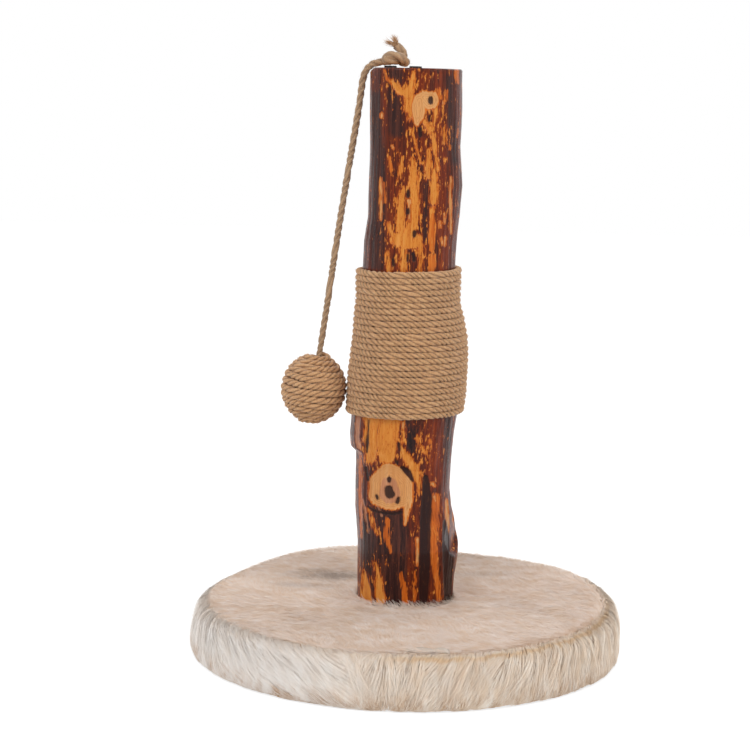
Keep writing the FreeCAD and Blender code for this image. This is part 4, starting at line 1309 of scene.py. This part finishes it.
def makeTopFur():
    dice = np.random.default_rng(fur["seed"])
    count = fur["topCount"]
    reach = fur["topReach"] * np.sqrt(dice.random(count))
    turn = dice.random(count) * 2 * math.pi
    x, y = reach * np.cos(turn), reach * np.sin(turn)
    fromLog = np.hypot(x - base["middleX"], y - cordPlane)
    kept = fromLog > fur["rootsOffLog"]
    x, y, reach, turn, fromLog = (part[kept] for part in (x, y, reach, turn, fromLog))
    count = len(x)
    angle = combing(x, y) + dice.normal(0, 0.28, count)
    # near the seam the pile leans out over the edge
    rim = np.clip((reach - 0.185) / 0.018, 0, 1)
    backLeft = rim * np.clip(np.sin(turn) * 1.4, 0, 1) * np.clip(0.55 - np.cos(turn), 0.25, 1)
    lengths = fur["topLength"][0] + (fur["topLength"][1] - fur["topLength"][0]) * dice.random(count)
    lie = np.radians(fur["topLie"] + dice.normal(0, 5, count)).clip(0.05, 0.9)
    atLog = np.clip((0.058 - fromLog) / 0.007, 0, 1)
    away = np.arctan2(y - cordPlane, x - base["middleX"])
    towards = np.cos(angle - away) < 0
    lie = lie + atLog * np.where(towards, 0.85, 0.3) + rim * 0.25 + backLeft * 0.35
    lengths = lengths * (1 + 0.5 * backLeft)
    points = fur["topPoints"]
    share = np.linspace(0, 1, points)
    dx = np.cos(angle) * (1 - rim * 0.7) + np.cos(turn) * rim * 0.7
    dy = np.sin(angle) * (1 - rim * 0.7) + np.sin(turn) * rim * 0.7
    size = np.hypot(dx, dy)
    dx, dy = dx / size, dy / size
    bend = dice.normal(0, 0.5, count)
    paths = np.empty((count, points, 3))
    run = lengths[:, None] * share[None, :]
    side = bend[:, None] * run ** 2 / lengths[:, None] * 0.5
    flat = np.cos(lie)[:, None] * run
    paths[:, :, 0] = x[:, None] + dx[:, None] * flat - dy[:, None] * side
    paths[:, :, 1] = y[:, None] + dy[:, None] * flat + dx[:, None] * side
    rise = np.sin(lie)[:, None] * run - 0.35 * np.sin(lie)[:, None] * run ** 2 / lengths[:, None]
    paths[:, :, 2] = base["pileBase"] + topHeight(x, y)[:, None] + rise
    paths[:, :, 2] -= np.clip(reach - 0.196, 0, None)[:, None] * 0.45
    # strands beside the log stay outside it
    gap = np.hypot(paths[:, :, 0] - base["middleX"], paths[:, :, 1] - cordPlane)
    push = np.clip(fur["tipsOffLog"] / np.maximum(gap, 1e-6), 1, None)
    paths[:, :, 0] = base["middleX"] + (paths[:, :, 0] - base["middleX"]) * push
    paths[:, :, 1] = cordPlane + (paths[:, :, 1] - cordPlane) * push
    # past the cloth's edge they hang over
    out = np.hypot(paths[:, :, 0], paths[:, :, 1])
    paths[:, :, 2] -= np.clip(out - 0.200, 0, None) * 0.9
    grown = 1 + standOut(paths[:, :, 0], paths[:, :, 1], paths[:, :, 2]) / np.maximum(out, 0.05)
    paths[:, :, :2] *= grown[:, :, None]
    widths = dice.uniform(*fur["widths"], count)
    # the blades are turned a little to the front, so that few are seen from their backs
    heading = np.stack([dx, dy, np.sin(lie) * 0.6], axis=1)
    sides = unit(np.cross(heading, [0.0, -0.1, 1.0]) + dice.normal(0, 0.07, (count, 3)))
    normals = unit(np.array([0.0, -0.15, 1.0]) + dice.normal(0, 0.14, (count, 3)))
    tones = dice.random(count)
    material = makeFurMaterial("fauxFurTop", False)
    parts = fur["pieces"]
    for part in range(parts):
        pick = slice(part * count // parts, (part + 1) * count // parts)
        mesh = makeStrands(f"fur_top_pile_{part + 1}", paths[pick], widths[pick], sides[pick],
                           tones[pick], normals[pick])
        piece = newPiece(f"fur_top_pile_{part + 1}", mesh, material, False)
        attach(piece, "stand")
    print("top pile:", count, "strands")


def sideLean(turn):  # as photographed in front, in slow waves behind
    lean = np.interp(np.cos(turn), fur["leanAt"], fur["lean"])
    return np.where(np.sin(turn) < 0.2, lean, 0.45 * np.sin(turn * 5))


def makeSideFur():
    dice = np.random.default_rng(fur["seed"] + 1)
    count = fur["sideCount"]
    turn = dice.random(count) * 2 * math.pi
    # roots from just over the seam down the side
    down = dice.random(count) ** 1.6
    radius = np.interp(down, fur["sideLevels"], fur["sideRadius"])
    height = np.interp(down, fur["sideLevels"], fur["sideHeight"])
    height += topHeight(radius * np.cos(turn), radius * np.sin(turn)) * np.interp(down, [0, 0.4], [1, 0])
    ruffle = np.sin(turn * 37) + np.sin(turn * 83 + 1) + 0.8 * np.sin(turn * 151)
    radius += (0.0007 * ruffle + dice.normal(0, 0.0010, count)) * np.interp(down, [0, 0.3], [1, 0])
    lock = np.floor(turn * fur["lockRadius"] / fur["lockSize"] + 0.9 * np.sin(height * 300 + turn * 17))
    key = lock * 7.13 + np.floor(down * 3.5) * 3.7
    ownLean = (hash01(key) - 0.5) * 0.35 + 0.28 * np.sin(turn * 19 + 1)
    ownLean += 0.2 * np.sin(turn * 43 + height * 70)
    lockBend = (hash01(key + 4.4) - 0.5) * 0.7
    lengths = dice.uniform(*fur["sideLength"], count) * (0.85 + 0.3 * hash01(key + 9.1))
    lean = sideLean(turn)
    lengths *= np.sqrt(1 + np.minimum(np.abs(lean), 1.2) ** 2 * 0.5)
    share = np.linspace(0, 1, fur["sidePoints"])[None, :]
    run = lengths[:, None] * share
    slope = np.arctan(lean + ownLean + dice.normal(0, 0.10, count))[:, None]
    curve = slope + lockBend[:, None] * (share - 0.4) + 0.16 * np.sin(share * 6 + key[:, None])
    step = run[:, 1:] - run[:, :-1]
    start = np.zeros((count, 1))
    alongRim = np.concatenate([start, np.cumsum(np.sin(curve[:, 1:]) * step, axis=1)], axis=1)
    fall = np.concatenate([start, np.cumsum(np.cos(curve[:, 1:]) * step, axis=1)], axis=1)
    middle = (lock + 0.5) * fur["lockSize"] / fur["lockRadius"]
    gather = np.clip((middle - turn)[:, None] * 0.35 * share ** 1.5, -0.02, 0.02)
    around = turn[:, None] + alongRim / fur["hangRadius"] + gather
    # from over the seam the strands first run out over the rim, then down
    over = np.interp(down, [0, 0.08, 0.2], [1, 0.8, 0])[:, None]
    outward = over * (0.0060 + 0.0012 * ruffle[:, None] * 0.4)
    outward = outward * np.sin(np.clip(run / 0.011, 0, 1) * math.pi / 2)
    puff = (0.0038 + 0.0013 * hash01(key + 2.7) + 0.0010 * dice.random(count))[:, None]
    puff = puff * np.sin(np.clip(share * 1.2, 0, 1) * math.pi * 0.6)
    z = height[:, None] + over * 0.0018 * np.sin(share * math.pi) - fall * (1 - 0.55 * over * (1 - share))
    reach = np.minimum(radius[:, None] + outward + puff, fur["mostOut"])
    reach -= 0.0012 * np.clip((0.010 - z) / 0.010, 0, 1) ** 1.5
    lowest = fur["floorGap"] + 0.0025 * hash01(key + 6.0)[:, None] + dice.random((count, 1)) * 0.0012
    z = np.maximum(z, lowest)
    reach = reach + standOut(reach * np.cos(around), reach * np.sin(around), z)
    paths = np.stack([reach * np.cos(around), reach * np.sin(around), z], axis=2)
    widths = dice.uniform(*fur["widths"], count) * 1.15
    outwards = np.stack([np.cos(turn), np.sin(turn), np.zeros(count)], axis=1)
    rightwards = np.stack([-np.sin(turn), np.cos(turn), np.zeros(count)], axis=1)
    upright = np.array([0.0, 0.0, 1.0])
    # near the outline that shows from the front the blades are turned towards the front
    turned = 0.9 * np.abs(np.cos(turn)) ** 2 * np.clip((0.7 - np.sin(turn)) / 0.35, 0, 1)
    towards = np.stack([np.zeros(count), -turned, np.zeros(count)], axis=1)
    heading = rightwards * np.sin(slope) - upright * np.cos(slope)
    sides = unit(np.cross(heading, outwards + towards + 0.25 * upright))
    sides = unit(sides * (1 - over) - rightwards * over + dice.normal(0, 0.08, (count, 3)))
    normals = unit(outwards + 0.7 * towards + 0.4 * upright + 0.15 * (hash01(key + 3.3) - 0.5)[:, None]
                   * rightwards + dice.normal(0, 0.12, (count, 3)))
    tones = np.clip(0.45 * hash01(key + 1.9) + 0.55 * dice.random(count), 0, 1)
    material = makeFurMaterial("fauxFurSide", True)
    order = np.argsort(turn)
    parts = fur["pieces"]
    for part in range(parts):
        pick = order[part * count // parts:(part + 1) * count // parts]
        mesh = makeStrands(f"fur_side_pile_{part + 1}", paths[pick], widths[pick], sides[pick],
                           tones[pick], normals[pick])
        piece = newPiece(f"fur_side_pile_{part + 1}", mesh, material, False)
        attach(piece, "stand")
    print("side pile:", count, "strands")


makeCloth()
makeTopFur()
makeSideFur()


# label, wadding and felt
label = {"middle": 0.017, "front": -0.193, "width": 0.044, "depth": 0.013, "height": 0.0531,
         "thick": 0.0005}


felt = {"floorGap": 0.0002, "thick": 0.0018, "rounded": 0.0008}
wadding = {"hole": 0.0512, "rounded": 0.004}


def spinDisc(name, outline, material, steps=128):
    bm = bmesh.new()
    corners = [bm.verts.new((x, 0, z)) for x, z in outline]
    edges = [bm.edges.new((a, b)) for a, b in zip(corners, corners[1:])]
    bmesh.ops.spin(bm, geom=corners + edges, cent=(0, 0, 0), axis=(0, 0, 1), angle=2 * math.pi,
                   steps=steps, use_merge=True)
    bmesh.ops.remove_doubles(bm, verts=bm.verts[:], dist=1e-6)
    bmesh.ops.recalc_face_normals(bm, faces=bm.faces[:])
    return newPiece(name, meshFrom(name, bm), material)


def makeCloths():
    material, tree, shader = startMaterial("greyFelt", Roughness=0.95)
    place = onPiece(tree)
    fluff = noiseOf(tree, place, 900, 4, 0.75)
    colour = mixColour(tree, fluff, tone(64, 60, 58), tone(112, 106, 100))
    paint(tree, shader, colour)
    finishBump(tree, shader, fluff, 0.5, 0.0006)
    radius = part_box("underside_felt")[1].x
    low = felt["floorGap"]
    high = low + felt["thick"]
    inner = radius - felt["rounded"]
    disc = spinDisc("felt_disc", [(0, low), (inner, low), (radius, 0.0008), (radius, 0.0016),
                                  (inner, high), (0, high)], material)
    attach(disc, "stand")
    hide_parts("underside_felt")

    material, tree, shader = startMaterial("whiteWadding", Roughness=1.0)
    place = onPiece(tree)
    fluff = noiseOf(tree, place, 160, 5, 0.8)
    paint(tree, shader, mixColour(tree, fluff, tone(214, 212, 206), tone(242, 240, 236)))
    finishBump(tree, shader, fluff, 0.8, 0.002)
    low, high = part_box("top_padding")
    edge, hole = high.x, wadding["hole"]
    ring = spinDisc("wadding_ring", [(hole, low.z), (edge - 0.001, low.z), (edge, low.z + 0.0015),
                                     (edge - 0.0008, high.z - 0.0008),
                                     (edge - wadding["rounded"], high.z), (hole, high.z),
                                     (hole, low.z)], material)
    for vertex in ring.data.vertices:
        if math.hypot(vertex.co.x, vertex.co.y) < 0.1:
            vertex.co.y += cordPlane
    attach(ring, "stand")
    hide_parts("top_padding")


def makeLabel():
    material, tree, shader = startMaterial("labelSatin", Roughness=0.45, Sheen_Weight=0.2)
    place = onPiece(tree)
    warp = addNode(tree, "ShaderNodeTexWave", {"bands_direction": "X"},
                   {"Vector": place, "Scale": 900.0, "Distortion": 0.6}).outputs["Fac"]
    colour = mixColour(tree, times(tree, warp, 0.3), tone(206, 190, 174), tone(176, 160, 144))
    paint(tree, shader, colour)
    finishBump(tree, shader, warp, 0.3, 0.0002)
    bm = bmesh.new()
    bmesh.ops.create_grid(bm, x_segments=24, y_segments=6, size=0.5)
    for vertex in bm.verts:
        x, y = vertex.co.x, vertex.co.y + 0.5
        vertex.co.x = label["middle"] + x * label["width"] * 0.995
        vertex.co.y = label["front"] + y * label["depth"]
        end = max(0.0, abs(x) - 0.32) / 0.18
        vertex.co.z = label["height"] - 0.0014 * end ** 2 + 0.0005 * math.sin(x * 14 + y * 3)
    bmesh.ops.recalc_face_normals(bm, faces=bm.faces[:])
    bmesh.ops.solidify(bm, geom=bm.faces[:], thickness=label["thick"])
    piece = newPiece("woven_label", meshFrom("woven_label", bm), material)
    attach(piece, "stand")
    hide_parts("blank_label")


makeCloths()
makeLabel()


# materials of the solids that stay
veneer = 0.0036  # two of the plywood's layers


def makePlywood():
    material, tree, shader = startMaterial("plywood", Roughness=0.6)
    place = onPiece(tree)
    veneers = calc(tree, "SINE", times(tree, splitUp(tree, place)["Z"], 2 * math.pi / veneer), 0.0)
    grain = noiseOf(tree, stretch(tree, place, (1, 0.06, 1)), 260, 4, 0.6, 0.3)
    colour = mixColour(tree, grain, tone(214, 180, 132), tone(184, 144, 96))
    colour = mixColour(tree, times(tree, rangeOf(tree, veneers, 0.0, 0.4), 0.35), colour,
                       tone(150, 110, 70))
    paint(tree, shader, colour)
    finishBump(tree, shader, grain, 0.3, 0.0004)
    return material


def makeMetal(name, light, dark, metallic, roughness):
    material, tree, shader = startMaterial(name, Metallic=metallic, Roughness=roughness)
    wear = noiseOf(tree, onPiece(tree), 900, 4, 0.6)
    paint(tree, shader, mixColour(tree, wear, dark, light))
    tree.links.new(rangeOf(tree, wear, 0.3, 0.7, roughness - 0.08, roughness + 0.12),
                   shader.inputs["Roughness"])
    finishBump(tree, shader, wear, 0.1, 0.0002)
    return material


def makeCoreWood():
    material, tree, shader = startMaterial("turnedWood", Roughness=0.55)
    place = onPiece(tree)
    grain = noiseOf(tree, stretch(tree, place, (1, 1, 0.08)), 420, 4, 0.6, 0.4)
    paint(tree, shader, mixColour(tree, grain, tone(222, 188, 140), tone(176, 130, 84)))
    finishBump(tree, shader, grain, 0.25, 0.0004)
    return material


def dressSolids():
    zinc = makeMetal("zincSteel", tone(196, 198, 200), tone(140, 142, 146), 1.0, 0.34)
    black = makeMetal("blackSteel", tone(46, 44, 44), tone(20, 19, 20), 0.6, 0.42)
    plywood = makePlywood()
    for node, material in (("base_board_lower", plywood), ("base_board_upper", plywood),
                           ("board_screws", zinc), ("post_screws", zinc), ("hem_staples", zinc),
                           ("wrap_staples", black), ("top_screws", black),
                           ("ball_core", makeCoreWood())):
        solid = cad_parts[node]
        solid.data.materials.clear()
        solid.data.materials.append(material)
    print("solids dressed")


stopKnot = {"turns": 1.6, "wide": 0.0030, "high": 0.0026, "diameter": 0.0052, "lay": 0.018, "steps": 60}


def makeStopKnot():  # the cord's end, tied under the ball's core
    low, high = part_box("ball_stop_knot")
    middle = (low + high) / 2
    wide, steps = stopKnot["wide"], stopKnot["steps"]
    line = []
    for step in range(steps + 1):
        turn = 2 * math.pi * stopKnot["turns"] * step / steps
        level = stopKnot["high"] * (2 * step / steps - 1)
        line.append(middle + ballTurn @ Vector((wide * math.cos(turn), wide * math.sin(turn), level)))
    mesh, _ = layRope("ball_stop_knot_rope", line, stopKnot["diameter"], stopKnot["lay"])
    piece = newPiece("ball_stop_knot_rope", mesh, juteMaterial)
    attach(piece, "cord")
    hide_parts("ball_stop_knot")


dressSolids()
makeStopKnot()
